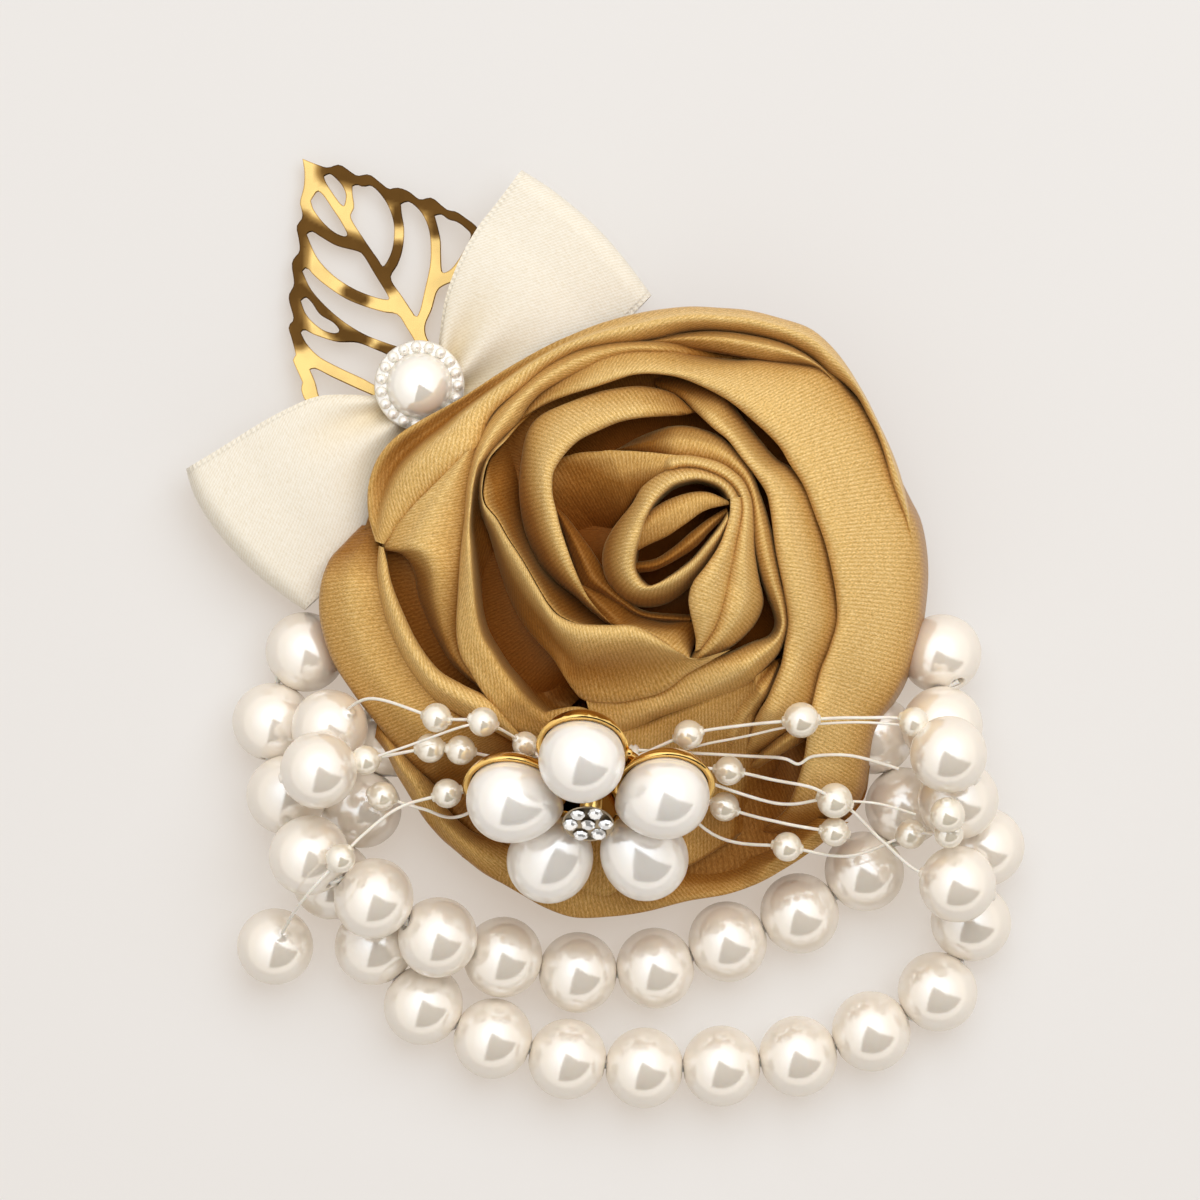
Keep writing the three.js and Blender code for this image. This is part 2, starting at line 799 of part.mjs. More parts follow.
function cabochon() {
  const foot = bowLift + boundHeight + 2 * gap + bindingBand;
  const top = foot + cabochonBase;
  const dome = [];
  for (let i = 0; i <= 5; i++) {
    const angle = (Math.PI / 2) * (i / 5);
    dome.push([i === 5 ? 0 : domeRadius * Math.cos(angle), top + 0.8 * domeRadius * Math.sin(angle)]);
  }
  const body = revolved([[0, foot], [cabochonRadius - 0.4, foot], [cabochonRadius, top], ...dome], 24);
  let button = solid(body);
  for (let i = 0; i < rimBeadCount; i++) {
    const angle = (2 * Math.PI * i) / rimBeadCount;
    const radius = (cabochonRadius + domeRadius) / 2;
    const place = new THREE.Vector3(radius * Math.cos(angle), radius * Math.sin(angle), top + 0.15);
    button = button.add(solid(ball(rimBeadRadius, place, 5)));
  }
  return geometryOf(button);
}

// Leaf: a stamped plate with a scalloped edge, a midrib along X and openings between slanting veins.

function leafEdge(x) {
  const share = THREE.MathUtils.clamp(x / leafLength, 0, 1);
  const body = Math.sin(Math.PI * share ** 0.72) ** 0.8;
  return leafHalfWidth * body;
}

function goldLeaf() {
  const steps = 26;
  const scallop = (i) => (i % 4 === 2 ? 0.45 : 0);
  const edge = (i) => leafEdge((leafLength * i) / steps) + scallop(i) + veinWidth * (1 - i / steps);
  const outline = new THREE.Shape().moveTo(-leafStem, -veinWidth);
  for (let i = 1; i < steps; i++) {
    outline.lineTo((leafLength * i) / steps, -edge(i));
  }
  outline.lineTo(leafLength, 0);
  for (let i = steps - 1; i >= 1; i--) {
    outline.lineTo((leafLength * i) / steps, edge(i));
  }
  outline.lineTo(-leafStem, veinWidth);
  let plate = solid(flatExtrusion(outline, leafThickness, 1));
  for (const side of [-1, 1]) {
    for (let i = 0; i < veinCount; i++) {
      const opening = leafOpening(1.2 + i * veinPitch);
      if (!opening) continue;
      const cut = flatExtrusion(opening, 3 * leafThickness, 3).translate(0, 0, -leafThickness);
      if (side < 0) cut.rotateX(Math.PI).translate(0, 0, leafThickness);
      plate = plate.subtract(solid(cut));
    }
  }
  return geometryOf(plate);
}

// The opening after the vein that leaves the midrib at a length along it, where there is room for one.
function leafOpening(from) {
  const inner = veinWidth / 2 + 0.35;
  let reach = inner;
  while (reach + 0.1 < leafEdge(from + veinPitch / 2 + veinSlant * reach) - leafBorder) {
    reach += 0.1;
  }
  if (reach - inner < 1.6) return null;
  const open = veinPitch - veinWidth;
  const at = (share, y) => [from + share * open + veinSlant * y, y];
  const shoulder = 0.7 * reach + 0.3 * inner;
  return new THREE.Shape()
    .moveTo(...at(0.25, inner))
    .quadraticCurveTo(...at(0.95, inner + 0.1), ...at(1, shoulder))
    .quadraticCurveTo(...at(1, reach), ...at(0.55, reach))
    .quadraticCurveTo(...at(0.1, reach), ...at(0, shoulder))
    .quadraticCurveTo(...at(-0.1, inner + 0.35 * (reach - inner)), ...at(0.25, inner));
}

// Assembly

const corsage = new THREE.Group();
corsage.add(named("backing_felt", backingFelt(), feltFinish));
corsage.add(named("base_disc", baseDisc(), boardFinish));
corsage.add(named("back_elastic", backElastic(), elasticFinish));
corsage.add(named("satin_rose", satinRose(), satinFinish));

const bow = new THREE.Group();
bow.position.set(bowPlace.x, bowPlace.y, 0);
bow.rotation.z = bowTurn;
bow.add(named("bow_ribbon", bowRibbon(), ribbonFinish));
bow.add(named("bow_binding", bowBinding(), ribbonFinish));
bow.add(named("bow_cabochon", cabochon(), pearlFinish));
corsage.add(bow);

const leaf = named("gold_leaf", goldLeaf(), goldFinish);
leaf.position.set(leafBase.x, leafBase.y, leafBottom);
leaf.rotation.z = leafTurn;
corsage.add(leaf);

const brooch = placed(new THREE.Group());
brooch.add(named("brooch_setting", broochSetting(), goldFinish));
petals(0, 12).forEach((petal, i) => brooch.add(named(`brooch_pearl_${i + 1}`, petal, pearlFinish)));
brooch.add(named("brooch_crystals", crystalCluster(), crystalFinish));
brooch.add(named("spray_binding", sprayBinding(), lineFinish));
corsage.add(brooch);

for (const [name, geometry] of Object.entries(sprayLines)) {
  corsage.add(named(name, geometry, lineFinish));
}

const bracelet = new THREE.Group();
for (const [name, curve, count, lead] of [
  ["upper", upperRoute, upperCount, upperLead],
  ["lower", lowerRoute, lowerCount, lowerLead],
]) {
  const stops = stringing(curve, count, lead);
  bracelet.add(named(`${name}_elastic`, strandElastic(curve, stops), elasticFinish));
  bracelet.add(...strungPearls(`${name}_pearl`, stops));
}
corsage.add(bracelet);

export default corsage;
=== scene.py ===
# Wrist corsage: rolled satin rose, ribbon bow, stamped leaf, pearl brooch, pearl sprays and two strung strands.
import bisect
import json
import math
import bmesh
import bpy
from mathutils import Euler, Matrix, Vector


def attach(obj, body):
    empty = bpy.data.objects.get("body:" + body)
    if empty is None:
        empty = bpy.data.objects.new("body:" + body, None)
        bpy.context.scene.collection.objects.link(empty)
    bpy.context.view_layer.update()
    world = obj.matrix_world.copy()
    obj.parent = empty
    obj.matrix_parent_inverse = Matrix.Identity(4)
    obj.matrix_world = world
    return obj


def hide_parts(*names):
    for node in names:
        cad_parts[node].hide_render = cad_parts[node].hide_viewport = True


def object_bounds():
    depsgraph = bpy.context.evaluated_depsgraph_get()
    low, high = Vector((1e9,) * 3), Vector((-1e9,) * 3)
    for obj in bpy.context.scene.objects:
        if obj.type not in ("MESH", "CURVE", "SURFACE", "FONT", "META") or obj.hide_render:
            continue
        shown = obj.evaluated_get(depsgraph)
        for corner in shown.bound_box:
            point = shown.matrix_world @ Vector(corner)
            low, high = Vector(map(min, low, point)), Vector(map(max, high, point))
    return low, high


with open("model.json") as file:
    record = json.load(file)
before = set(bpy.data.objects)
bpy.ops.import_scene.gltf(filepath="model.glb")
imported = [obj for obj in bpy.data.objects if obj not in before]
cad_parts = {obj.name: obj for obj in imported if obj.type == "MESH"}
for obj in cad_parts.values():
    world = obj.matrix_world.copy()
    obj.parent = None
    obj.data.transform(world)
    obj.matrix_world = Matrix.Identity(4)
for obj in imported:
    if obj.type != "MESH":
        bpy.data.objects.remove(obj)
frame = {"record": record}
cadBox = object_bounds()
mm = 0.001
scene = bpy.context.scene
scene.view_settings.view_transform = "Standard"
joints = {joint["name"]: joint for joint in frame["record"]["behaviour"]["joints"]}
print("frame loaded")


def linked(name, data):
    obj = bpy.data.objects.new(name, data)
    scene.collection.objects.link(obj)
    return obj


def meshFrom(name, bm):
    mesh = bpy.data.meshes.new(name)
    bm.to_mesh(mesh)
    bm.free()
    return mesh


# Camera straight above the flat lay, and its one lamp

photoView = dict(width=1200, mmPerPixel=0.1013, middleX=620, middleY=653, height=1.0, focusHeight=0.012, sensor=36,
                 clip=(0.01, 10))
softbox = dict(place=(0.12, 0.3, 0.58), target=(0, 0, 0.01), size=(0.7, 0.6), power=3.4, colour=(1, 0.99, 0.97))


def onPhoto(u, v):
    # millimetres in the object's frame for a pixel of the photograph
    return (u - photoView["middleX"]) * photoView["mmPerPixel"], (photoView["middleY"] - v) * photoView["mmPerPixel"]


def onView(form, points):
    # the same for points on an enlarged view, whose corner and scale are in the piece's dictionary
    units = form["unitsPerPixel"]
    return [Vector(onPhoto(form["cornerX"] + a / units, form["cornerY"] + b / units)) for a, b in points]


def addCamera():
    x, y = onPhoto(photoView["width"] / 2, photoView["width"] / 2)
    data = bpy.data.cameras.new("camera")
    data.sensor_width = photoView["sensor"]
    frameWidth = photoView["width"] * photoView["mmPerPixel"] * mm
    data.lens = photoView["sensor"] * (photoView["height"] - photoView["focusHeight"]) / frameWidth
    data.clip_start, data.clip_end = photoView["clip"]
    scene.camera = linked("camera", data)
    scene.camera.location = (x * mm, y * mm, photoView["height"])


def addLamp(name, place, target, size, power, colour):
    data = bpy.data.lights.new(name, "AREA")
    data.shape = "RECTANGLE"
    data.size, data.size_y = size
    data.energy = power
    data.color = colour
    lamp = linked(name, data)
    lamp.visible_camera = lamp.visible_glossy = False
    lamp.location = place
    lamp.rotation_euler = (Vector(target) - Vector(place)).to_track_quat("-Z", "Y").to_euler()


addCamera()
addLamp("softbox", **softbox)
print("camera and lamp placed")

# Finishes


def newFinish(name):
    material = bpy.data.materials.new(name)
    material.use_nodes = True
    nodes = material.node_tree.nodes
    return material, nodes, material.node_tree.links, nodes["Principled BSDF"]


def setInputs(node, values):
    for socket, value in values.items():
        node.inputs[socket].default_value = value


def addNode(nodes, kind, inputs=None, **settings):
    node = nodes.new(kind)
    for key, value in settings.items():
        setattr(node, key, value)
    setInputs(node, inputs or {})
    return node


def addTexture(nodes, links, kind, vector, inputs):
    texture = addNode(nodes, f"ShaderNodeTex{kind}", inputs)
    links.new(vector, texture.inputs["Vector"])
    return texture.outputs["Fac"]


def objectNoise(nodes, links, inputs):
    # noise that stays on the piece
    coords = nodes.new("ShaderNodeTexCoord")
    return addTexture(nodes, links, "Noise", coords.outputs["Object"], inputs)


def ownAttribute(nodes, name):
    return addNode(nodes, "ShaderNodeAttribute", attribute_name=name).outputs["Fac"]


def combined(nodes, links, operation, *values):
    # a maths node fed by sockets or plain numbers
    node = addNode(nodes, "ShaderNodeMath", operation=operation)
    for place, value in enumerate(values):
        if isinstance(value, bpy.types.NodeSocket):
            links.new(value, node.inputs[place])
        else:
            node.inputs[place].default_value = value
    return node.outputs["Value"]


def rampBetween(nodes, links, source, stops):
    ramp = nodes.new("ShaderNodeValToRGB")
    marks = ramp.color_ramp.elements
    for mark, (position, colour) in zip(marks, (stops[0], stops[-1])):
        mark.position, mark.color = position, (*colour, 1)
    for position, colour in stops[1:-1]:
        marks.new(position).color = (*colour, 1)
    links.new(source, ramp.inputs["Fac"])
    return ramp.outputs["Color"]


def tinted(nodes, links, colour, amount, stops):
    # a colour multiplied by a ramp over an amount
    tint = addNode(nodes, "ShaderNodeMix", data_type="RGBA", blend_type="MULTIPLY")
    tint.inputs["Factor"].default_value = 1
    links.new(colour, tint.inputs["A"])
    links.new(rampBetween(nodes, links, amount, stops), tint.inputs["B"])
    return tint.outputs["Result"]


def addBump(nodes, links, shader, source, strength, depth):
    bump = addNode(nodes, "ShaderNodeBump", {"Strength": strength, "Distance": depth * mm})
    links.new(source, bump.inputs["Height"])
    links.new(bump.outputs["Normal"], shader.inputs["Normal"])


# Woven cloth on its own UV map, which is in millimetres: fine slanting ribs with uneven threads, painted glints on the
# threads, and painted shade from an attribute.
weaveForm = dict(
    ribs={"Distortion": 2.2, "Detail": 3.0, "Detail Scale": 2.5}, wavesPerRib=0.314, ribShare=0.3,
    threads={"Scale": 1.6, "Detail": 4.0, "Roughness": 0.6}, threadStretch=(3.2, 0.7, 1), threadShare=0.85,
    # glints: painted highlights, flecks along the threads where the colour is made lighter
    glints={"Scale": 2.6, "Detail": 2.0, "Roughness": 0.7}, glintStretch=(4.5, 1.3, 1), glintTurn=24,
    edge=[(0.935, (0, 0, 0)), (0.955, (1, 1, 1))], rungs={"Scale": 0.5, "Distortion": 0.4},
    rungHeight=2.2, edgeHeight=1.2, relief=0.55, gloss={"Sheen Roughness": 0.4, "Specular IOR Level": 0.35},
)


def wovenFinish(name, colours, ribsPerMm, slant, ribDepth, roughness, sheen, glints, paintedShadeBy, paintedShadeStops, selvedge=False):
    material, nodes, links, shader = newFinish(name)
    w = weaveForm
    cloth = addNode(nodes, "ShaderNodeUVMap", uv_map="weave").outputs["UV"]

    def laid(turn, stretch=(1, 1, 1)):
        mapping = addNode(nodes, "ShaderNodeMapping", {"Scale": stretch, "Rotation": (0, 0, math.radians(turn))})
        links.new(cloth, mapping.inputs["Vector"])
        return mapping.outputs["Vector"]

    ribs = addTexture(nodes, links, "Wave", laid(slant), {"Scale": ribsPerMm * w["wavesPerRib"], **w["ribs"]})
    threads = addTexture(nodes, links, "Noise", laid(slant, w["threadStretch"]), w["threads"])
    height = combined(nodes, links, "MULTIPLY_ADD", ribs, w["ribShare"],
                      combined(nodes, links, "MULTIPLY", threads, w["threadShare"]))
    colour = rampBetween(nodes, links, height, colours)
    # painted glints: the colour lighter in fine flecks along the threads as painted highlights, and darker between them
    shine = addTexture(nodes, links, "Noise", laid(slant + w["glintTurn"], w["glintStretch"]), w["glints"])
    colour = tinted(nodes, links, colour, shine, glints)
    # painted shade: the colour darkened by an attribute, such as depth in the rose's folds or nearness to the ribbon's
    # creases
    links.new(tinted(nodes, links, colour, ownAttribute(nodes, paintedShadeBy), paintedShadeStops), shader.inputs["Base Color"])
    lightest = (*colours[-1][1], 1)
    setInputs(shader, {"Roughness": roughness, "Sheen Weight": sheen, "Sheen Tint": lightest, "Specular Tint": lightest,
                       **w["gloss"]})
    if selvedge:
        edge = rampBetween(nodes, links, ownAttribute(nodes, "depth"), w["edge"])
        rungs = addTexture(nodes, links, "Wave", cloth, w["rungs"])
        rungs = combined(nodes, links, "MULTIPLY_ADD", rungs, w["rungHeight"], w["edgeHeight"])
        height = combined(nodes, links, "MULTIPLY_ADD", rungs, edge, height)
    addBump(nodes, links, shader, height, w["relief"], ribDepth)
    return material


# Pearl coat: a warm white body under a clear, soft gloss.
pearlCoat = dict(
    cloud={"Scale": 120.0, "Detail": 3.0}, skin={"Scale": 900.0, "Detail": 2.0}, relief=(0.06, 0.03),
    gloss={"IOR": 3.6, "Sheen Weight": 0.3, "Sheen Roughness": 0.35, "Sheen Tint": (1, 0.9, 0.73, 1),
           "Subsurface Weight": 0.1, "Subsurface Radius": (0.002, 0.0015, 0.001), "Subsurface Scale": 0.4},
)


def pearlFinish(name, body, shade, roughness):
    material, nodes, links, shader = newFinish(name)
    cloud = objectNoise(nodes, links, pearlCoat["cloud"])
    links.new(rampBetween(nodes, links, cloud, [(0.3, shade), (0.65, body)]), shader.inputs["Base Color"])
    addBump(nodes, links, shader, objectNoise(nodes, links, pearlCoat["skin"]), *pearlCoat["relief"])
    setInputs(shader, {"Roughness": roughness, **pearlCoat["gloss"]})
    return material


goldPlate = dict(cloud={"Scale": 260.0, "Detail": 3.0}, deeper=0.82, dentDepth=0.15)


def goldFinish(name, colour, roughness, dent, paintedShadeBy=None, paintedShadeStops=None):
    material, nodes, links, shader = newFinish(name)
    cloud = objectNoise(nodes, links, goldPlate["cloud"])
    deep = tuple(goldPlate["deeper"] * c for c in colour)
    tone = rampBetween(nodes, links, cloud, [(0.35, deep), (0.6, colour)])
    # painted dark patches from an attribute, on the leaf standing for its dark reflections
    if paintedShadeBy:
        tone = tinted(nodes, links, tone, ownAttribute(nodes, paintedShadeBy), paintedShadeStops)
    links.new(tone, shader.inputs["Base Color"])
    setInputs(shader, {"Metallic": 1, "Roughness": roughness})
    addBump(nodes, links, shader, cloud, dent, goldPlate["dentDepth"])
    return material


def plainFinish(name, light, dark, grain, roughness, depth, scatter=0.0):
    material, nodes, links, shader = newFinish(name)
    speck = objectNoise(nodes, links, {"Scale": grain, "Detail": 5.0, "Roughness": 0.65})
    links.new(rampBetween(nodes, links, speck, [(0.3, dark), (0.7, light)]), shader.inputs["Base Color"])
    setInputs(shader, {"Roughness": roughness, "Subsurface Weight": scatter,
                       "Subsurface Radius": (0.002, 0.0015, 0.001)})
    addBump(nodes, links, shader, speck, 0.4, depth)
    return material


def crystalFinish(name, light, dark):
    material, nodes, links, shader = newFinish(name)
    flaw = objectNoise(nodes, links, {"Scale": 700.0, "Detail": 1.0})
    links.new(rampBetween(nodes, links, flaw, [(0.3, dark), (0.7, light)]), shader.inputs["Base Color"])
    setInputs(shader, {"Metallic": 0.6, "Roughness": 0.03, "IOR": 1.7, "Coat Weight": 1})
    return material


# gold satin: painted shade darkens it toward brown in the deep folds, by the depth attribute
satin = wovenFinish(
    "gold satin", ribsPerMm=2.5, slant=0, ribDepth=0.07, roughness=0.34, sheen=0.3,
    colours=[(0.3, (0.56, 0.34, 0.1)), (0.55, (0.7, 0.46, 0.165)), (0.8, (0.82, 0.59, 0.27))],
    glints=[(0.34, (0.72, 0.66, 0.55)), (0.5, (1, 1, 1)), (0.66, (1.3, 1.34, 1.42))], paintedShadeBy="depth",
    paintedShadeStops=[(0, (1, 1, 1)), (0.12, (0.84, 0.76, 0.64)), (0.4, (0.46, 0.29, 0.14)), (1, (0.25, 0.105, 0.03))])
# cream ribbon: warm painted shade in the creases near the pinch, from the shade attribute, and faint painted glints
ribbonSatin = wovenFinish(
    "cream ribbon", ribsPerMm=3.4, slant=62, ribDepth=0.05, roughness=0.42, sheen=0.2,
    colours=[(0.3, (0.77, 0.69, 0.55)), (0.55, (0.84, 0.785, 0.675)), (0.8, (0.9, 0.86, 0.775))],
    glints=[(0.35, (0.96, 0.95, 0.92)), (0.6, (1.03, 1.03, 1.04))], paintedShadeBy="shade",
    paintedShadeStops=[(0, (1, 1, 1)), (1, (0.93, 0.8, 0.55))], selvedge=True)
pearl = pearlFinish("pearl coat", body=(0.91, 0.83, 0.73), shade=(0.88, 0.795, 0.685), roughness=0.17)
seedPearl = pearlFinish("moulded pearl", body=(0.88, 0.81, 0.68), shade=(0.83, 0.74, 0.59), roughness=0.12)
broochPearl = pearlFinish("brooch pearl", body=(0.94, 0.9, 0.855), shade=(0.91, 0.865, 0.81), roughness=0.17)
buttonPearl = pearlFinish("button pearl", body=(0.95, 0.91, 0.84), shade=(0.92, 0.87, 0.78), roughness=0.1)
bronze = goldFinish("dark plate", colour=(0.4, 0.32, 0.22), roughness=0.28, dent=0.1)
gold = goldFinish("gold plate", colour=(0.86, 0.56, 0.18), roughness=0.14, dent=0.12)
# stamped gold: painted dark reflections darken it along the traced strokes
leafGold = goldFinish("stamped gold", colour=(0.66, 0.43, 0.15), roughness=0.16, dent=0.05, paintedShadeBy="paintedDarkReflection",
                      paintedShadeStops=[(0, (1, 1, 1)), (0.5, (0.4, 0.33, 0.26)), (1, (0.13, 0.09, 0.06))])
nylon = plainFinish("nylon line", light=(0.93, 0.9, 0.84), dark=(0.8, 0.75, 0.66), grain=500, roughness=0.25,
                    depth=0.01, scatter=0.3)
elastic = plainFinish("clear elastic", light=(0.94, 0.91, 0.85), dark=(0.88, 0.84, 0.77), grain=400, roughness=0.35,
                      depth=0.01, scatter=0.3)
felt = plainFinish("cream felt", light=(0.9, 0.84, 0.72), dark=(0.72, 0.65, 0.52), grain=1500, roughness=0.95,
                   depth=0.25)
board = plainFinish("stiff board", light=(0.75, 0.65, 0.46), dark=(0.6, 0.5, 0.34), grain=300, roughness=0.9,
                    depth=0.05)
crystal = crystalFinish("cut crystal", light=(1, 1, 1), dark=(0.9, 0.92, 0.95))
print("finishes made")

# What glossy surfaces see above the table: a panel that fades to its edges, and a dark gap before it

softGlow = dict(
    corners=[(-2.4, -2.8, 1.3), (2.4, -2.8, 1.3), (2.4, 2.8, 1.3), (-2.4, 2.8, 1.3)], middle=(-0.05, 0.4, 1.3), reach=2,
    stops=[(0, (1.9, 2.05, 2.2)), (0.3, (1.74, 1.84, 1.94)), (0.5, (1.42, 1.44, 1.45)), (1, (1.2, 1.17, 1.12))])
gapPlace = dict(distance=0.26, strandsY=-0.035)


def skyward(tilt, turn):
    # a place above the strands, by its angle from straight up and its turn from X in degrees
    tilt, turn = math.radians(tilt), math.radians(turn)
    aside = gapPlace["distance"] * math.sin(tilt)
    return aside * math.cos(turn), aside * math.sin(turn) + gapPlace["strandsY"], gapPlace["distance"] * math.cos(tilt)


studioGap = dict(
    corners=[skyward(19, 110), skyward(67, 246), skyward(66, 300), skyward(74, 348), skyward(30, 352)],
    middle=(0.1, -0.15, 0.3), reach=1, stops=[(0, (0.03, 0.025, 0.02)), (1, (0.05, 0.04, 0.03))])


def addPanel(name, corners, middle, reach, stops):
    bm = bmesh.new()
    bm.faces.new([bm.verts.new(corner) for corner in corners])
    panel = linked(name, meshFrom(name, bm))
    panel.visible_camera = panel.visible_diffuse = panel.visible_shadow = False
    panel.visible_transmission = panel.visible_volume_scatter = False
    material = bpy.data.materials.new(name)
    material.use_nodes = True
    nodes, links = material.node_tree.nodes, material.node_tree.links
    coords = nodes.new("ShaderNodeTexCoord")
    distance = addNode(nodes, "ShaderNodeVectorMath", {1: middle}, operation="DISTANCE")
    links.new(coords.outputs["Object"], distance.inputs[0])
    share = combined(nodes, links, "DIVIDE", distance.outputs["Value"], reach)
    glow = nodes.new("ShaderNodeEmission")
    links.new(rampBetween(nodes, links, share, stops), glow.inputs["Color"])
    links.new(glow.outputs["Emission"], nodes["Material Output"].inputs["Surface"])
    panel.data.materials.append(material)


addPanel("soft_glow", **softGlow)
addPanel("studio_gap", **studioGap)
print("panels hung")

# Ways of making shapes


def addPiece(name, bm, finish, body, node):
    mesh = meshFrom(name, bm)
    mesh.shade_smooth()
    mesh.materials.append(finish)
    obj = linked(name, mesh)
    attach(obj, body)
    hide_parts(node)
    return obj


def addSpline(data, places):
    spline = data.splines.new("POLY")
    spline.points.add(len(places) - 1)
    for spot, place in zip(spline.points, places):
        spot.co = (*place, 1)
    return spline


def roundLine(name, points, diameter, roundness):
    # a curve with a round section through points in millimetres
    data = bpy.data.curves.new(name, "CURVE")
    data.dimensions = "3D"
    data.bevel_depth = diameter / 2 * mm
    data.bevel_resolution = roundness
    data.use_fill_caps = True
    addSpline(data, [point * mm for point in points])
    return data


def curveMesh(data):
    # a curve turned into a mesh to work on
    obj = bpy.data.objects.new(data.name, data)
    mesh = bpy.data.meshes.new_from_object(obj)
    bm = bmesh.new()
    bm.from_mesh(mesh)
    bpy.data.objects.remove(obj)
    bpy.data.curves.remove(data)
    bpy.data.meshes.remove(mesh)
    return bm


def tubeAlong(points, diameter):
    return curveMesh(roundLine("line", points, diameter, 2))


def turned(profile, steps, closed=False):
    # (radius, height) pairs in millimetres, spun about Z
    bm = bmesh.new()
    spots = [bm.verts.new((r * mm, 0, z * mm)) for r, z in profile]
    edges = [bm.edges.new(pair) for pair in zip(spots, spots[1:])]
    if closed:
        edges.append(bm.edges.new((spots[-1], spots[0])))
    bmesh.ops.spin(bm, geom=spots + edges, cent=(0, 0, 0), axis=(0, 0, 1), angle=2 * math.pi, steps=steps,
                   use_merge=True)
    bmesh.ops.remove_doubles(bm, verts=bm.verts, dist=1e-7)
    bmesh.ops.recalc_face_normals(bm, faces=bm.faces)
    return bm


def ballArc(girth, radius, tilt, steps):
    # a ball's side between two circles at a tilt above and below its middle
    angles = [tilt * (2 * i / steps - 1) for i in range(steps + 1)]
    return [(girth * math.cos(angle), radius * math.sin(angle)) for angle in angles]


def withBothEnds(side, end):
    return [(r, -z) for r, z in reversed(end)] + side + end


def join(bm, part, place=Matrix(), materialIndex=0):
    part.transform(place)
    for face in part.faces:
        face.material_index = materialIndex
    mesh = meshFrom("part", part)
    bm.from_mesh(mesh)
    bpy.data.meshes.remove(mesh)


def addBall(bm, place, radius):
    ball = bmesh.new()
    bmesh.ops.create_uvsphere(ball, u_segments=16, v_segments=10, radius=radius * mm)
    join(bm, ball, Matrix.Translation(Vector(place) * mm))


def standing(axis):
    # turns Z to an axis
    return Vector((0, 0, 1)).rotation_difference(Vector(axis)).to_matrix().to_4x4()


def cutAcross(bm, place, normal, **clear):
    bmesh.ops.bisect_plane(bm, geom=bm.verts[:] + bm.edges[:] + bm.faces[:], dist=1e-8, plane_co=place, plane_no=normal,
                           **clear)


def runAlong(points):
    # the way from the first point to each one
    run = [0.0]
    for a, b in zip(points, points[1:]):
        run.append(run[-1] + (b - a).length)
    return run


def smoothLine(points, count, fine=10):
    # even steps along a smooth curve through points, Vectors of two or three numbers
    dense = []
    last = len(points) - 1
    for i in range(last):
        p0, p1, p2, p3 = points[max(i - 1, 0)], points[i], points[i + 1], points[min(i + 2, last)]
        for k in range(fine):
            t = k / fine
            dense.append(0.5 * (2 * p1 + (p2 - p0) * t + (2 * p0 - 5 * p1 + 4 * p2 - p3) * t * t
                                + (3 * p1 - p0 - 3 * p2 + p3) * t ** 3))
    dense.append(points[last])
    run = runAlong(dense)
    line = []
    for i in range(count + 1):
        want = run[-1] * i / count
        k = min(max(bisect.bisect_right(run, want) - 1, 0), len(dense) - 2)
        line.append(dense[k].lerp(dense[k + 1], (want - run[k]) / max(run[k + 1] - run[k], 1e-9)))
    return line


def layCloth(bm, rows, depthAt=None, grain=0, shadeAt=None):
    # a grid of cloth through rows of points, with a UV map in millimetres along and across it
    along, across = len(rows) - 1, len(rows[0]) - 1
    weave = bm.loops.layers.uv.get("weave") or bm.loops.layers.uv.new("weave")
    depth = bm.verts.layers.float.get("depth") or bm.verts.layers.float.new("depth")
    shade = bm.verts.layers.float.get("shade") or bm.verts.layers.float.new("shade")
    grid = bmesh.ops.create_grid(bm, x_segments=along, y_segments=across, size=0.5)["verts"]
    middle = across // 2
    lengths = runAlong([row[middle] for row in rows])
    widths = [[value - run[middle] for value in run] for run in map(runAlong, rows)]
    spots = {}
    for vert in grid:
        i, j = round((vert.co.x + 0.5) * along), round((vert.co.y + 0.5) * across)
        spots[vert] = i, j
        vert.co = rows[i][j] * mm
        if depthAt:
            vert[depth] = depthAt(rows[i][j], j / across)
        if shadeAt:
            vert[shade] = shadeAt(i / along, j / across)
    for face in {face for vert in grid for face in vert.link_faces}:
        for loop in face.loops:
            i, j = spots[loop.vert]
            u, v = lengths[i], widths[i][j]
            loop[weave].uv = u * math.cos(grain) - v * math.sin(grain), u * math.sin(grain) + v * math.cos(grain)


# Strands: pearls with a bore on elastic that leaves one knot and comes back to the other

strand = dict(radius=4.0, girth=4.13, bore=0.75, ease=0.15, lip=0.3, arcSteps=24, sides=40, held=3.75, diameter=0.6,
              roundness=3)
strands = dict(
    upper=dict(count=14, length=0.135, start=[(-23.75, 0, 2.87), (-27, 0.3, 3.6)],
               end=[(26, -3, 3.2), (23.75, 0, 1.63)]),
    lower=dict(count=17, length=0.165, start=[(-23.75, 0, 1.63), (-25.6, -3, 2.8)],
               end=[(28.4, 0.8, 3.4), (23.75, 0, 2.87)]),
)


def strandPearls(name):
    # each pearl's node with the joint that it turns on
    nodes = [f"{name}_pearl_{i:02d}" for i in range(1, strands[name]["count"] + 1)]
    return [(node, joints[f"{node}_spin"]) for node in nodes]


def pearlProfile():
    radius, bore, ease = strand["radius"], strand["bore"], strand["ease"]
    tilt = math.acos((bore + ease) / radius)
    end = radius * math.sin(tilt)
    lip = [(bore + ease * strand["lip"], end - ease * strand["lip"]), (bore, end - ease)]
    return withBothEnds(ballArc(strand["girth"], radius, tilt, strand["arcSteps"]), lip)


def elasticRoute(name):
    route = [Vector(p) for p in strands[name]["start"]]
    for _, joint in strandPearls(name):
        middle, axis = Vector(joint["pos_m"]) / mm, Vector(joint["axis"])
        route += [middle - axis * strand["held"], middle + axis * strand["held"]]
    return route + [Vector(p) for p in strands[name]["end"]]


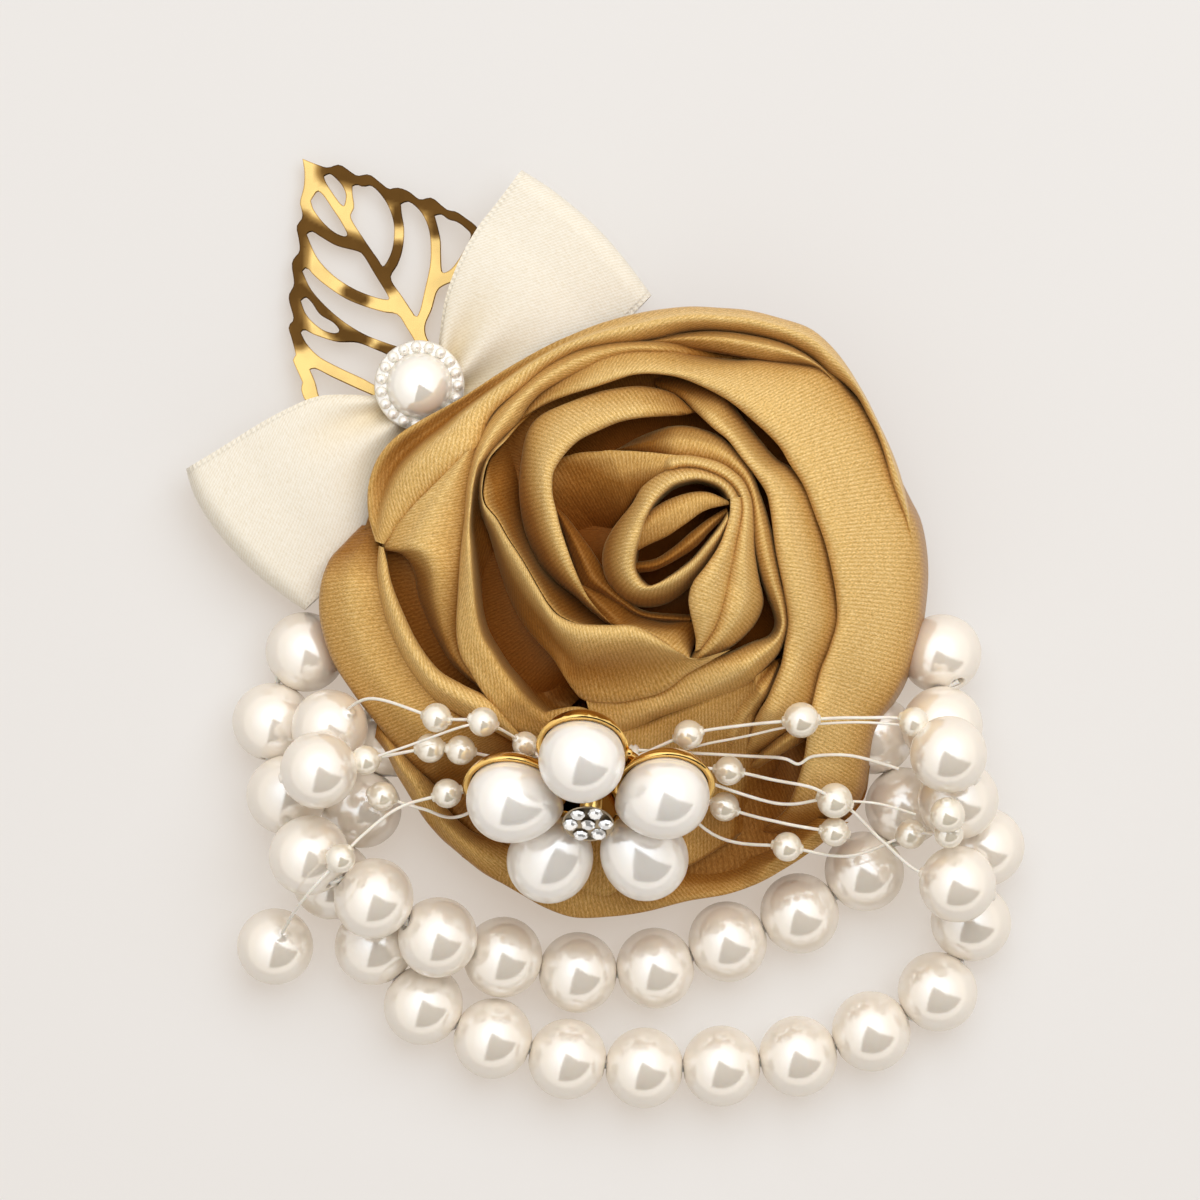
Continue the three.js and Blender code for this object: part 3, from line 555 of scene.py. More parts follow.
def addElastic(name):
    route = elasticRoute(name)
    data = roundLine(f"{name}_elastic_cord", route, strand["diameter"], strand["roundness"])
    data.materials.append(elastic)
    cord = linked(f"{name}_elastic_cord", data)
    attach(cord, "bracelet")
    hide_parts(f"{name}_elastic")
    print(name, "elastic", round(runAlong(route)[-1] * mm, 4))


for name in strands:
    addElastic(name)
print("elastics strung")

# Rose: folds of one rolled strip, each traced from its inner edge to its outer edge on the photograph

roseForm = dict(
    bud=(6.1, 12.5), lowest=5.2, crown=27, slope=1.25, overhang=1.08, rimFront=8.6, rimRise=0.1, front=-26.7,
    hem=8.2, seat=(-9.47, 12.73), seatSlope=1.0724, broochX=-2.95, clear=15.96,
    unitsPerPixel=2.45, cornerX=300, cornerY=280, foldSteps=(110, 22), grain=10,
    outline=[(30.4, 6.4), (29.2, 14.6), (25.4, 24.9), (19.2, 32.4), (6.9, 34.9), (-1.4, 33.2), (-15.9, 24.9),
             (-22.5, 21.3), (-25.8, 14.6), (-30.4, 6), (-28.3, -1.5), (-20.5, -14.3), (-9.8, -24.8), (0.7, -26.7),
             (16.4, -22.6), (24.8, -15), (26.3, -8.1), (29.4, -2.6)],
)


def rimTable():
    # distance from the bud to the rim for each direction
    ring = [Vector(p) for p in roseForm["outline"]]
    closed = smoothLine(ring[-2:] + ring + ring[:3], 600)
    bud = Vector(roseForm["bud"])
    table = sorted((math.atan2((p - bud).y, (p - bud).x), (p - bud).length) for p in closed)
    return [a for a, _ in table], [r for _, r in table]


rimAngles, rimReaches = rimTable()


def rimReach(angle):
    return rimReaches[min(bisect.bisect_left(rimAngles, angle), len(rimAngles) - 1)]


def roseHeight(x, y):
    # a cone round the bud, cut by a slanting seat for the brooch
    dx, dy = x - roseForm["bud"][0], y - roseForm["bud"][1]
    share = min(math.hypot(dx, dy) / rimReach(math.atan2(dy, dx)), roseForm["overhang"])
    rim = roseForm["rimFront"] + roseForm["rimRise"] * (y - roseForm["front"])
    height = rim + (roseForm["crown"] - rim) * (1 - share ** roseForm["slope"])
    seatY, seatZ = roseForm["seat"]
    seat = max(roseForm["hem"], seatZ + (y - seatY) * roseForm["seatSlope"])
    return min(height, seat + max(0, abs(x - roseForm["broochX"]) - roseForm["clear"]))


# rise: heights over the rose's slope at the inner edge, the crest and the outer edge, at even shares of the length.
# crest: where the crest is across the fold. tuck: how far the edges go down out of sight. reach: how far sideways.
# grain: the turn of the weave in degrees. dip, hollow: sinks beyond the crest and before it.
roseFolds = dict(
    bud=dict(
        crest=0.22, tuck=(9, 3), reach=(0.5, -0.3),
        rise=[(-0.1, 0.5, -1.4), (-0.1, 0.6, -2), (-0.2, 0.5, -5), (-0.5, 0.2, -6), (-1, -0.4, -5)],
        inner=[(1050, 539), (1038, 519), (1021, 505), (997, 495), (970, 490), (939, 495), (911, 505), (884, 526),
               (860, 553), (842, 588), (829, 629), (818, 670), (815, 698), (818, 715), (829, 735), (842, 748),
               (853, 751), (880, 742), (921, 718), (956, 691), (990, 653), (1025, 608), (1045, 574)],
        outer=[(1073, 533), (1056, 505), (1025, 481), (976, 462), (928, 459), (887, 474), (839, 507), (812, 550),
               (785, 584), (761, 619), (747, 650), (741, 681), (744, 712), (754, 739), (771, 763), (796, 786),
               (830, 800), (868, 800), (906, 788), (945, 760), (980, 725), (1012, 684), (1046, 628)]),
    heartRoll=dict(
        crest=0.3, tuck=(3, 6), reach=(0.1, -0.2),
        rise=[(-2.6, -1.8, -3), (-2.2, -1.5, -2.8), (-1.8, -1.2, -2.2), (-1.4, -1.2, -1.6)],
        inner=[(838, 590), (858, 568), (897, 544), (949, 526), (997, 524), (1046, 544)],
        outer=[(818, 668), (853, 649), (897, 629), (939, 601), (990, 567), (1048, 553)]),
    heartEnd=dict(
        crest=0.5, tuck=(2, 3), reach=(0, -0.1),
        rise=[(-3.4, -2.8, -3.6), (-4, -3, -4), (-4.6, -3.4, -4.4), (-5, -4, -5)],
        inner=[(1042, 560), (1000, 586), (956, 620), (915, 655), (870, 684), (822, 692)],
        outer=[(1046, 575), (1005, 615), (968, 655), (925, 684), (870, 712), (822, 718)]),
    budRight=dict(
        crest=0.45, tuck=(4, 3), reach=(-0.2, 0.3),
        rise=[(0.1, 0.5, -0.3), (-0.6, 0.2, -0.9), (-0.9, 0.1, -1.1), (-0.9, 0, -1.1), (-1.6, -1.2, -1.6)],
        inner=[(1050, 535), (1049, 574), (1038, 615), (1021, 656), (994, 698), (963, 739), (952, 773), (952, 801),
               (959, 835), (967, 876), (966, 908)],
        outer=[(1074, 535), (1077, 565), (1073, 601), (1066, 636), (1056, 687), (1042, 752), (1028, 808), (1008, 859),
               (978, 904)]),
    cupRight=dict(
        crest=0.4, tuck=(2.5, 5), reach=(0.3, 0.3),
        rise=[(-15, -14.5, -15), (-0.6, 0.2, -0.8), (-0.9, 0.2, -1.2), (-1.1, 0.2, -1.8), (-1.4, 0, -2.6),
              (-2.4, -1.6, -2.4)],
        inner=[(800, 565), (839, 507), (887, 476), (928, 460), (976, 463), (1025, 482), (1056, 506), (1073, 534),
               (1077, 565), (1073, 601), (1066, 636), (1056, 687), (1042, 752), (1028, 808), (1008, 859), (972, 908),
               (950, 932)],
        outer=[(770, 560), (820, 488), (872, 449), (928, 436), (976, 440), (1025, 453), (1059, 474), (1083, 498),
               (1098, 529), (1105, 560), (1107, 608), (1108, 663), (1117, 725), (1128, 777), (1124, 808), (1104, 845),
               (1060, 888), (1005, 922), (960, 945)]),
    cupLeft=dict(
        crest=0.5, tuck=(2, 4), reach=(0, -0.2),
        rise=[(-11, -10, -7), (-10, -6.8, -3.4), (-5.6, -2.7, -1.5), (-2.2, -1.2, -1)],
        inner=[(742, 742), (733, 690), (748, 640), (785, 584), (830, 520), (890, 472)],
        outer=[(610, 640), (590, 540), (628, 446), (733, 423), (830, 424), (929, 434)]),
    underFold=dict(
        crest=0.5, tuck=(3, 3), reach=(0, 0.2),
        rise=[(-7, -6, -6.5), (-6.5, -5, -6), (-6, -4.4, -6), (-6, -4.6, -6)],
        inner=[(627, 550), (661, 591), (702, 646), (733, 694), (761, 739), (802, 780), (847, 811), (960, 820)],
        outer=[(624, 560), (652, 632), (674, 701), (693, 752), (733, 770), (790, 803), (850, 832), (950, 842)]),
    pleat=dict(
        crest=0.62, tuck=(2, 3), reach=(0, 0.3),
        rise=[(-6, -5, -5.5), (-5.6, -4, -4.2), (-5.6, -3, -1.6), (-4, -1.6, -0.9)],
        inner=[(693, 748), (737, 766), (785, 794), (819, 818), (888, 838), (957, 836), (968, 873), (957, 915)],
        outer=[(678, 740), (714, 797), (761, 840), (816, 847), (871, 873), (922, 908), (950, 926)]),
    secondWrap=dict(
        crest=0.2, tuck=(10, 4), reach=(-0.25, 0.2),
        rise=[(-4, -3.4, -4), (-1.4, -0.3, -2), (-0.6, 0.5, -1.6), (-0.3, 0.7, -3.2), (-0.6, 0.4, -6),
              (-1.4, -0.6, -6.5), (-3, -2.6, -6)],
        inner=[(968, 327), (937, 334), (885, 337), (834, 341), (782, 351), (731, 372), (683, 396), (645, 434),
               (623, 471), (619, 499), (620, 530), (628, 564), (640, 612), (658, 667), (678, 719), (702, 770),
               (730, 808), (764, 843)],
        outer=[(960, 318), (920, 286), (885, 272), (834, 265), (782, 269), (731, 279), (662, 303), (593, 334),
               (560, 375), (546, 440), (540, 512), (544, 564), (554, 615), (575, 667), (599, 708), (634, 743),
               (675, 774), (716, 811), (764, 846)]),
    sideStrip=dict(
        crest=0.5, tuck=(4, 3), reach=(0.3, 0.3),
        rise=[(-8, -7.2, -9), (-2.6, -1.5, -3.2), (-2.2, -0.9, -2.4), (-2, -0.8, -2), (-2.4, -0.7, -1.8),
              (-3, -0.4, -2), (-2, -0.2, -3), (-1.8, -0.2, -3.4), (-2, -0.8, -3.4)],
        inner=[(760, 424), (840, 424), (929, 434), (976, 439), (1025, 452), (1059, 473), (1083, 498), (1098, 529),
               (1105, 560), (1109, 610), (1115, 663), (1131, 728), (1148, 773), (1165, 818), (1168, 846), (1152, 873),
               (1108, 891), (1056, 915), (1005, 932), (946, 959), (885, 1004), (833, 1021), (770, 1032), (700, 1026)],
        outer=[(760, 420), (836, 388), (905, 367), (965, 369), (1025, 391), (1066, 427), (1100, 470), (1124, 535),
               (1145, 608), (1159, 677), (1172, 739), (1183, 780), (1190, 836), (1184, 873), (1163, 915), (1132, 949),
               (1101, 987), (1056, 1021), (1005, 1045), (936, 1069), (885, 1087), (833, 1121), (790, 1150),
               (740, 1160)]),
    lowerWrap=dict(
        dip=[0, 0, 0, 0.4, 2.2, 2.6, 1.6, 0], crest=0.17, tuck=(9, 3), reach=(-0.3, 0.2),
        rise=[(-6, -5.5, -6), (-1, -0.2, -3.4), (-0.7, 0.3, -6), (-0.6, 0.4, -7), (-0.6, 0.4, -4.4), (-0.7, 0, -1.3),
              (-1, -0.3, -0.9), (-1.2, -0.9, -0.8)],
        inner=[(600, 305), (548, 346), (505, 395), (465, 440), (449, 500), (452, 547), (482, 585), (510, 633),
               (544, 684), (578, 743), (606, 791), (634, 822), (682, 842), (750, 846), (816, 847), (871, 873),
               (922, 908), (952, 928), (985, 925)],
        outer=[(590, 292), (535, 333), (495, 385), (452, 440), (436, 510), (441, 564), (462, 619), (482, 684),
               (503, 750), (520, 790), (549, 842), (584, 884), (618, 921), (645, 963), (670, 1001), (700, 1027),
               (770, 1034), (833, 1023), (885, 1006), (946, 962), (1000, 932), (1050, 905)]),
    lowerInside=dict(
        crest=0.45, tuck=(2, 2), reach=(0.3, -0.2),
        rise=[(-8, -7, -6), (-7.5, -4.6, -1.4), (-8, -5, -1.4), (-8, -5, -1.6), (-7, -5, -2.4)],
        inner=[(560, 365), (545, 430), (540, 512), (545, 566), (556, 617), (577, 667), (601, 708), (636, 743),
               (677, 776), (720, 814), (770, 846)],
        outer=[(507, 392), (468, 440), (452, 500), (455, 547), (484, 585), (512, 633), (546, 684), (580, 743),
               (608, 791), (640, 824), (700, 848)]),
    rightWrap=dict(
        crest=0.25, tuck=(8, 3), reach=(-0.2, 0.8),
        rise=[(-6, -5.5, -6), (-1.6, -0.4, -2.6), (-1, 0.3, -2.2), (-0.9, 0.4, -1.8), (-1, 0.3, -1.8), (-1.4, 0, -2),
              (-1.8, -0.4, -2.4), (-2.8, -1.6, -3)],
        inner=[(870, 262), (930, 290), (968, 326), (1011, 367), (1045, 395), (1076, 436), (1111, 481), (1138, 522),
               (1148, 560), (1155, 608), (1162, 660), (1172, 711), (1183, 763), (1193, 832), (1186, 890), (1177, 939),
               (1163, 976), (1142, 1025), (1122, 1059), (1105, 1104), (1087, 1155), (1072, 1190)],
        outer=[(868, 245), (915, 247), (971, 265), (1029, 300), (1076, 360), (1111, 405), (1148, 446), (1185, 468),
               (1209, 488), (1238, 531), (1262, 604), (1283, 680), (1301, 770), (1311, 832), (1303, 866), (1294, 897),
               (1273, 949), (1259, 1007), (1246, 1048), (1222, 1076), (1181, 1102), (1140, 1138), (1105, 1168),
               (1080, 1196)]),
    endPleat=dict(
        crest=0.4, tuck=(2, 3), reach=(0.2, 0.2),
        rise=[(-6, -5, -6), (-3.4, -1.6, -3.6), (-3, -1.2, -3), (-3, -1.4, -3), (-4, -3, -4)],
        inner=[(1252, 1052), (1225, 1084), (1184, 1112), (1142, 1147), (1108, 1177), (1078, 1202)],
        outer=[(1262, 1100), (1232, 1128), (1194, 1150), (1150, 1178), (1114, 1204), (1082, 1222)]),
    sidePleat=dict(
        crest=0.55, tuck=(2, 4), reach=(0.4, -0.2),
        rise=[(-5, -3.6, -5), (-2.6, -1.3, -3.2), (-2.2, -0.8, -3), (-2.2, -0.9, -3), (-3, -2, -3.6)],
        inner=[(1160, 925), (1128, 975), (1082, 1030), (1040, 1085), (1012, 1140), (1000, 1175)],
        outer=[(1176, 945), (1158, 992), (1128, 1042), (1102, 1090), (1080, 1145), (1064, 1188)]),
    broadPetal=dict(
        crest=0.14, tuck=(8, 5), reach=(-0.2, 1.5),
        rise=[(-4, -3.6, -4), (-1.3, -0.1, -1.6), (-1.1, 0.2, -1.8), (-0.9, 0.4, -1.4), (-0.8, 0.5, -1),
              (-0.8, 0.5, -1), (-0.9, 0.3, -1), (-1, 0.1, -1.2), (-5, -4.4, -5)],
        inner=[(520, 372), (542, 343), (590, 312), (645, 288), (731, 262), (782, 245), (817, 235), (868, 233),
               (937, 245), (1029, 287), (1090, 332), (1165, 402), (1197, 453), (1231, 505), (1258, 574), (1283, 643),
               (1300, 711), (1312, 780), (1313, 840), (1294, 905), (1273, 958), (1255, 1030), (1244, 1090),
               (1236, 1160), (1220, 1225), (1190, 1300), (1120, 1360)],
        outer=[(512, 368), (556, 306), (593, 273), (645, 242), (696, 218), (765, 188), (834, 178), (890, 186),
               (937, 198), (993, 206), (1049, 211), (1106, 211), (1167, 218), (1225, 224), (1260, 229), (1290, 246),
               (1310, 268), (1335, 297), (1360, 324), (1394, 383), (1413, 428), (1434, 484), (1463, 543), (1493, 605),
               (1508, 700), (1503, 800), (1484, 900), (1446, 1000), (1392, 1085), (1368, 1175), (1352, 1262),
               (1285, 1325), (1150, 1365)]),
    topStrip=dict(
        hollow=[0, 0, 0, 0, 0, 1.6, 3.4, 3.4, 1.5], grain=55, crest=[0.5, 0.5, 0.5, 0.5, 0.55, 0.66, 0.62, 0.62, 0.6],
        tuck=(3, 3), reach=(0.2, 0.3),
        rise=[(-6, -5.6, -6), (-2, -1, -2), (-1.8, -0.5, -1.8), (-1.8, -0.2, -1.6), (-2.4, 0, -1.6), (-6, -0.2, -1.6),
              (-9, -0.9, -1), (-10, -1.6, -0.8), (-7, -1.8, -1.6)],
        inner=[(1029, 203), (954, 194), (902, 183), (834, 179), (765, 190), (696, 218), (645, 243), (593, 274),
               (559, 308), (535, 345), (493, 392), (458, 445), (442, 515), (443, 570), (462, 620), (482, 685),
               (503, 750), (524, 798), (556, 850), (597, 902), (640, 960), (690, 1020)],
        outer=[(1060, 182), (954, 160), (868, 155), (817, 154), (765, 156), (696, 168), (645, 189), (593, 220),
               (542, 265), (490, 315), (452, 370), (428, 430), (412, 500), (406, 580), (398, 660), (392, 760),
               (388, 853), (398, 915), (422, 956), (446, 997), (474, 1035), (501, 1073), (536, 1104), (570, 1118),
               (604, 1100)]),
    innerTop=dict(
        grain=55, crest=0.55, tuck=(1.2, 1.6), reach=(0.3, -0.3),
        rise=[(-4.1, -3.2, -4.2), (-3.2, -1.7, -3.2), (-2.6, -0.7, -2.6), (-2.4, -0.4, -2.4), (-2.4, -0.4, -2.4),
              (-3.2, -1.6, -3)],
        inner=[(850, 162), (930, 162), (993, 168), (1050, 177), (1106, 188), (1153, 196), (1200, 201), (1250, 211),
               (1284, 231), (1314, 264)],
        outer=[(840, 146), (930, 132), (990, 126), (1050, 128), (1110, 137), (1160, 148), (1205, 164), (1250, 190),
               (1290, 224), (1322, 268)]),
    outerTop=dict(
        dip=[0, 3.2, 2.4, 0.8, 0, 0, 0, 0, 0], grain=55, crest=0.5, tuck=(6, 3.2), reach=(-0.2, 0.1),
        rise=[(-1.6, -1.2, -1.4), (-1.4, -0.4, -0.8), (-1.2, 0.1, -1.2), (-1.8, 0.4, -1.6), (-3.2, 0.5, -1.5),
              (-3, 0.6, -1.5), (-1.4, 0.6, -1.5), (-0.9, 0.3, -1.8), (-2.6, -2.2, -3)],
        inner=[(207, 648), (270, 570), (350, 490), (428, 415), (455, 352), (490, 307), (542, 265), (593, 221),
               (645, 190), (696, 169), (765, 157), (817, 152), (881, 140), (937, 128), (993, 124), (1050, 128),
               (1110, 136), (1180, 154), (1218, 170), (1260, 194), (1293, 224), (1330, 250), (1366, 287), (1389, 329),
               (1411, 372), (1431, 425), (1448, 487), (1467, 540), (1486, 595), (1500, 690), (1501, 780)],
        outer=[(185, 640), (168, 570), (170, 500), (190, 440), (235, 387), (308, 338), (399, 288), (500, 222),
               (600, 165), (675, 131), (750, 103), (850, 79), (950, 67), (1030, 70), (1100, 76), (1180, 96),
               (1249, 120), (1300, 162), (1340, 211), (1372, 262), (1399, 311), (1450, 419), (1478, 500), (1498, 590),
               (1512, 690), (1512, 780)]),
    leftPleat=dict(
        crest=0.5, tuck=(2, 4), reach=(0.4, -0.2),
        rise=[(-2, -0.6, -1), (-2.2, -0.2, -0.6), (-2.6, -0.3, -2), (-3, -1.6, -6), (-3.4, -3, -8), (-3, -3, -7)],
        inner=[(432, 408), (414, 500), (406, 580), (398, 660), (392, 760), (388, 853), (398, 915), (436, 985)],
        outer=[(400, 430), (340, 492), (262, 572), (204, 652), (250, 672), (280, 715), (290, 790), (322, 880),
               (372, 950), (440, 1000)]),
    leftLip=dict(
        grain=55, crest=0.45, tuck=(8, 3), reach=(-0.2, 0.2),
        rise=[(-1, -0.7, -1.2), (-1.4, -0.2, -1.6), (-1.4, 0.1, -1.6), (-1.4, 0.2, -1.6), (-1.4, 0.1, -1.6),
              (-1.8, -0.6, -2)],
        inner=[(206, 656), (214, 690), (226, 745), (252, 812), (290, 890), (340, 955), (400, 992), (470, 1030),
               (540, 1110)],
        outer=[(196, 652), (192, 720), (204, 800), (232, 880), (272, 955), (325, 1020), (395, 1065), (470, 1100),
               (540, 1140)]),
    outerLeft=dict(
        crest=0.5, tuck=(3, 4), reach=(0.6, 0.1),
        rise=[(-4.5, -4, -4.5), (-2.4, -0.8, -1.6), (-2.2, -0.7, -1.4), (-2.2, -0.8, -1.4), (-2.6, -1.2, -1.8),
              (-4, -3.2, -3.6)],
        inner=[(215, 600), (205, 660), (206, 730), (220, 810), (250, 890), (292, 965), (345, 1030), (420, 1085),
               (520, 1130), (600, 1180)],
        outer=[(150, 600), (112, 640), (70, 690), (50, 760), (52, 840), (80, 930), (130, 1010), (190, 1088),
               (242, 1150), (299, 1211), (345, 1262), (380, 1300)]),
    frontLeft=dict(
        crest=0.72, tuck=(2, 4), reach=(0.6, 0.1),
        rise=[(-2.4, -1, -1.2), (-1.8, -0.5, -0.9), (-1.8, -0.6, -0.8), (-2.8, -1.2, -0.8), (-6, -1.6, -0.8),
              (-8, -1.6, -0.8), (-6, -1.4, -0.9)],
        inner=[(440, 1366), (500, 1368), (560, 1370), (640, 1372), (740, 1380), (830, 1395), (920, 1410),
               (1010, 1405), (1100, 1370), (1190, 1310)],
        outer=[(395, 1415), (466, 1463), (535, 1504), (603, 1541), (672, 1564), (760, 1562), (850, 1549), (950, 1524),
               (1044, 1508), (1113, 1485), (1182, 1448), (1253, 1402), (1345, 1330)]),
    lowerFront=dict(
        crest=0.5, tuck=(2, 3), reach=(0.6, -0.2),
        rise=[(-2, -0.8, -1.2), (-1.4, -0.2, -0.8), (-1.2, 0, -0.6), (-1.4, -0.3, -0.7), (-2.4, -1.4, -1.6),
              (-9, -8, -8)],
        inner=[(560, 1080), (680, 1060), (800, 1110), (900, 1080), (1000, 1040), (1090, 1000), (1170, 940),
               (1230, 880)],
        outer=[(480, 1360), (600, 1450), (735, 1515), (800, 1488), (900, 1455), (965, 1433), (1045, 1385),
               (1092, 1361), (1150, 1340), (1205, 1310)]),
    hem=dict(
        grain=55, crest=0.45, tuck=(4, 4), reach=(-0.2, 0.1),
        rise=[(-3, -2.4, -2.4), (-1.8, 0.2, -1.2), (-1.6, 0.5, -1.2), (-1.8, 0.5, -1.2), (-2.2, 0.2, -1.2),
              (-2.8, -0.6, -1.2)],
        inner=[(188, 1081), (212, 1114), (240, 1150), (269, 1183), (297, 1211), (322, 1236), (338, 1256), (350, 1288),
               (374, 1317), (399, 1341), (423, 1358), (448, 1368), (490, 1372), (540, 1360)],
        outer=[(181, 1122), (208, 1158), (232, 1207), (257, 1248), (281, 1288), (309, 1329), (342, 1368), (374, 1396),
               (411, 1427), (448, 1455), (492, 1479), (540, 1500)]),
)


def between(values, k, t):
    return values[k] + (values[k + 1] - values[k]) * t


def foldRows(fold):
    along, across = roseForm["foldSteps"]
    inner, outer = (smoothLine(onView(roseForm, fold[edge]), along) for edge in ("inner", "outer"))
    rises = fold["rise"]
    level = [0] * len(rises)
    crests = fold["crest"] if isinstance(fold["crest"], list) else [fold["crest"]] * len(rises)
    courses = crests, fold.get("dip", level), fold.get("hollow", level)
    (inTuck, outTuck), (inReach, outReach) = fold["tuck"], fold["reach"]
    rows = []
    for i, (a, b) in enumerate(zip(inner, outer)):
        spot = i / along * (len(rises) - 1)
        k = min(int(spot), len(rises) - 2)
        low, crest, high = (between(heights, k, spot - k) for heights in zip(*rises))
        share, dip, hollow = (between(course, k, spot - k) for course in courses)
        side = (b - a).normalized()
        inEnd, outEnd = a - side * inReach, b + side * outReach
        top, rest = a.lerp(b, share), a.lerp(b, 0.5 + share / 2)
        zA, zB, crestZ = roseHeight(*a) + low, roseHeight(*b) + high, roseHeight(*top) + crest
        restZ = roseHeight(*rest) + crest * 0.55 + high * 0.45 - dip
        profile = [(inEnd, zA - inTuck), (a.lerp(inEnd, 0.5), zA - inTuck * 0.35), (a, zA)]
        if hollow:
            profile.append((a.lerp(top, 0.7), (zA + crestZ) / 2 - hollow))
        profile += [(top, crestZ), (rest, restZ), (b, zB), (b.lerp(outEnd, 0.6), zB - outTuck * 0.35),
                    (outEnd, zB - outTuck)]
        line = smoothLine([Vector((*place, z)) for place, z in profile], across)
        rows.append([Vector((p.x, p.y, max(p.z, roseForm["lowest"]))) for p in line])
    return rows


# The cloth below the folds: it closes the deep grooves and turns under the rim to the base.
roseCore = dict(around=120, across=30, shares=[0, 0.06, 0.15, 0.3, 0.45, 0.6, 0.75, 0.88, 0.97], inset=0.5, sunk=9,
                sunkAtRim=3.4, lowest=5.4, rimDrop=4.4, rimLowest=5.2, baseRadius=14, baseHeight=4.9)
# painted shade in the rose: darker the deeper a point lies below the crests, and darker the lower it lies
roseShade = dict(start=0.3, reach=8, lowBelow=13, lowGain=0.03)


def coreRows():
    rows = []
    bud = Vector(roseForm["bud"])
    for i in range(roseCore["around"] + 1):
        angle = 2 * math.pi * i / roseCore["around"] - math.pi
        reach = rimReach(angle) - roseCore["inset"]
        way = Vector((math.cos(angle), math.sin(angle)))
        row = []
        for share in roseCore["shares"]:
            spot = bud + way * reach * share
            sunk = roseCore["sunk"] + (roseCore["sunkAtRim"] - roseCore["sunk"]) * share ** 2
            row.append(Vector((*spot, max(roseHeight(*spot) - sunk, roseCore["lowest"]))))
        rim = bud + way * reach
        base = rim.normalized() * roseCore["baseRadius"]
        low = max(roseHeight(*rim) - roseCore["rimDrop"], roseCore["rimLowest"])
        row += [Vector((*rim.lerp(base, 0.02), low)), Vector((*rim.lerp(base, 0.4), 0.5 * low + 2.5)),
                Vector((*base, roseCore["baseHeight"]))]
        rows.append(smoothLine(row, roseCore["across"]))
    return rows


def foldDepth(point, share):
    # how much painted shade a point takes, from 0 on the crests to 1: how deep it lies in the folds, and a little more
    # the lower it lies
    deep = (roseHeight(point.x, point.y) - point.z - roseShade["start"]) / roseShade["reach"]
    return min(max(deep, 0) + max(0, roseShade["lowBelow"] - point.z) * roseShade["lowGain"], 1)


# the core and every fold carry their painted shade in the depth attribute
roseMesh = bmesh.new()
layCloth(roseMesh, coreRows(), foldDepth)
bmesh.ops.remove_doubles(roseMesh, verts=roseMesh.verts, dist=1e-6)
for fold in roseFolds.values():
    layCloth(roseMesh, foldRows(fold), foldDepth, math.radians(fold.get("grain", roseForm["grain"])))
rose = addPiece("satin_rose_folds", roseMesh, satin, "corsage", "satin_rose")
print("rose folded")

# Pearls on their elastics

for name in strands:
    for node, joint in strandPearls(name):
        bead = turned(pearlProfile(), strand["sides"], closed=True)
        bead.transform(Matrix.Translation(joint["pos_m"]) @ standing(joint["axis"]))
        addPiece(f"{node}_bead", bead, pearl, node, node)
print("pearls threaded")

# Elastic across the back: a straight run below the disc with a wound knot at each end

backElastic = dict(knotX=22.5, groove=8, height=2.25, diameter=0.6, coil=0.62, turns=2.5, knotLength=0.9, steps=40)


def backElasticMesh():
    b = backElastic
    stops = -b["knotX"], -b["groove"], b["groove"], b["knotX"]
    bm = tubeAlong([Vector((x, 0, b["height"])) for x in stops], b["diameter"])
    for side in (-1, 1):
        coil = []
        for i in range(b["steps"] + 1):
            angle = 2 * math.pi * b["turns"] * i / b["steps"]
            coil.append(Vector((side * (b["knotX"] - b["knotLength"] / 2 + b["knotLength"] * i / b["steps"]),
                                b["coil"] * math.cos(angle), b["height"] + b["coil"] * math.sin(angle))))
        join(bm, tubeAlong(coil, b["diameter"]))
    return bm


addPiece("back_elastic_run", backElasticMesh(), elastic, "corsage", "back_elastic")

# Felt backing and stiff disc

feltForm = dict(flatWithin=2, edgeAngle=1, rounding=0.35, segments=3)
feltMesh = bmesh.new()
feltMesh.from_mesh(bpy.data.objects["backing_felt"].data)
bmesh.ops.remove_doubles(feltMesh, verts=feltMesh.verts, dist=1e-6)
bmesh.ops.dissolve_limit(feltMesh, angle_limit=math.radians(feltForm["flatWithin"]), verts=feltMesh.verts,
                         edges=feltMesh.edges)
feltEdges = [edge for edge in feltMesh.edges if edge.is_manifold and edge.calc_face_angle(0) > feltForm["edgeAngle"]]
bmesh.ops.bevel(feltMesh, geom=feltEdges, offset=feltForm["rounding"] * mm, segments=feltForm["segments"], profile=0.5,
                affect="EDGES", material=-1)
addPiece("felt_backing", feltMesh, felt, "corsage", "backing_felt")
for slot in bpy.data.objects["base_disc"].material_slots:
    slot.material = board
print("back made")

# Bow: one ribbon in two loops, its edges and ends traced on an enlarged view of the photograph

bowForm = dict(
    unitsPerPixel=3.136, cornerX=180, cornerY=140, lift=3.35, pinchRise=1.1, loopRise=4, riseSpeed=1.35, riseTurn=0.62,
    crown=0.5, foldReach=0.05, edgeSteps=80, alongSteps=36, turnSteps=10, acrossSteps=48,
    creases=7.5, creaseReach=0.66, creaseDepth=3, shadeReach=0.62, shadeLeast=0.25,
    left=dict(
        upper=[(700, 715), (650, 775), (600, 797), (540, 795), (430, 800), (330, 840), (230, 895), (110, 970),
               (10, 1030)],
        lower=[(795, 830), (790, 900), (755, 985), (705, 1090), (640, 1200), (560, 1310), (470, 1395), (385, 1475)],
        end=[(10, 1030), (40, 1120), (110, 1230), (220, 1350), (320, 1430), (385, 1475)]),
    right=dict(
        upper=[(700, 715), (755, 690), (803, 650), (812, 600), (830, 490), (870, 380), (930, 270), (1000, 180),
               (1070, 85)],
        lower=[(795, 830), (890, 830), (985, 810), (1090, 765), (1200, 710), (1310, 640), (1400, 562), (1480, 480)],
        end=[(1070, 85), (1170, 150), (1290, 250), (1390, 360), (1480, 480)]),
)


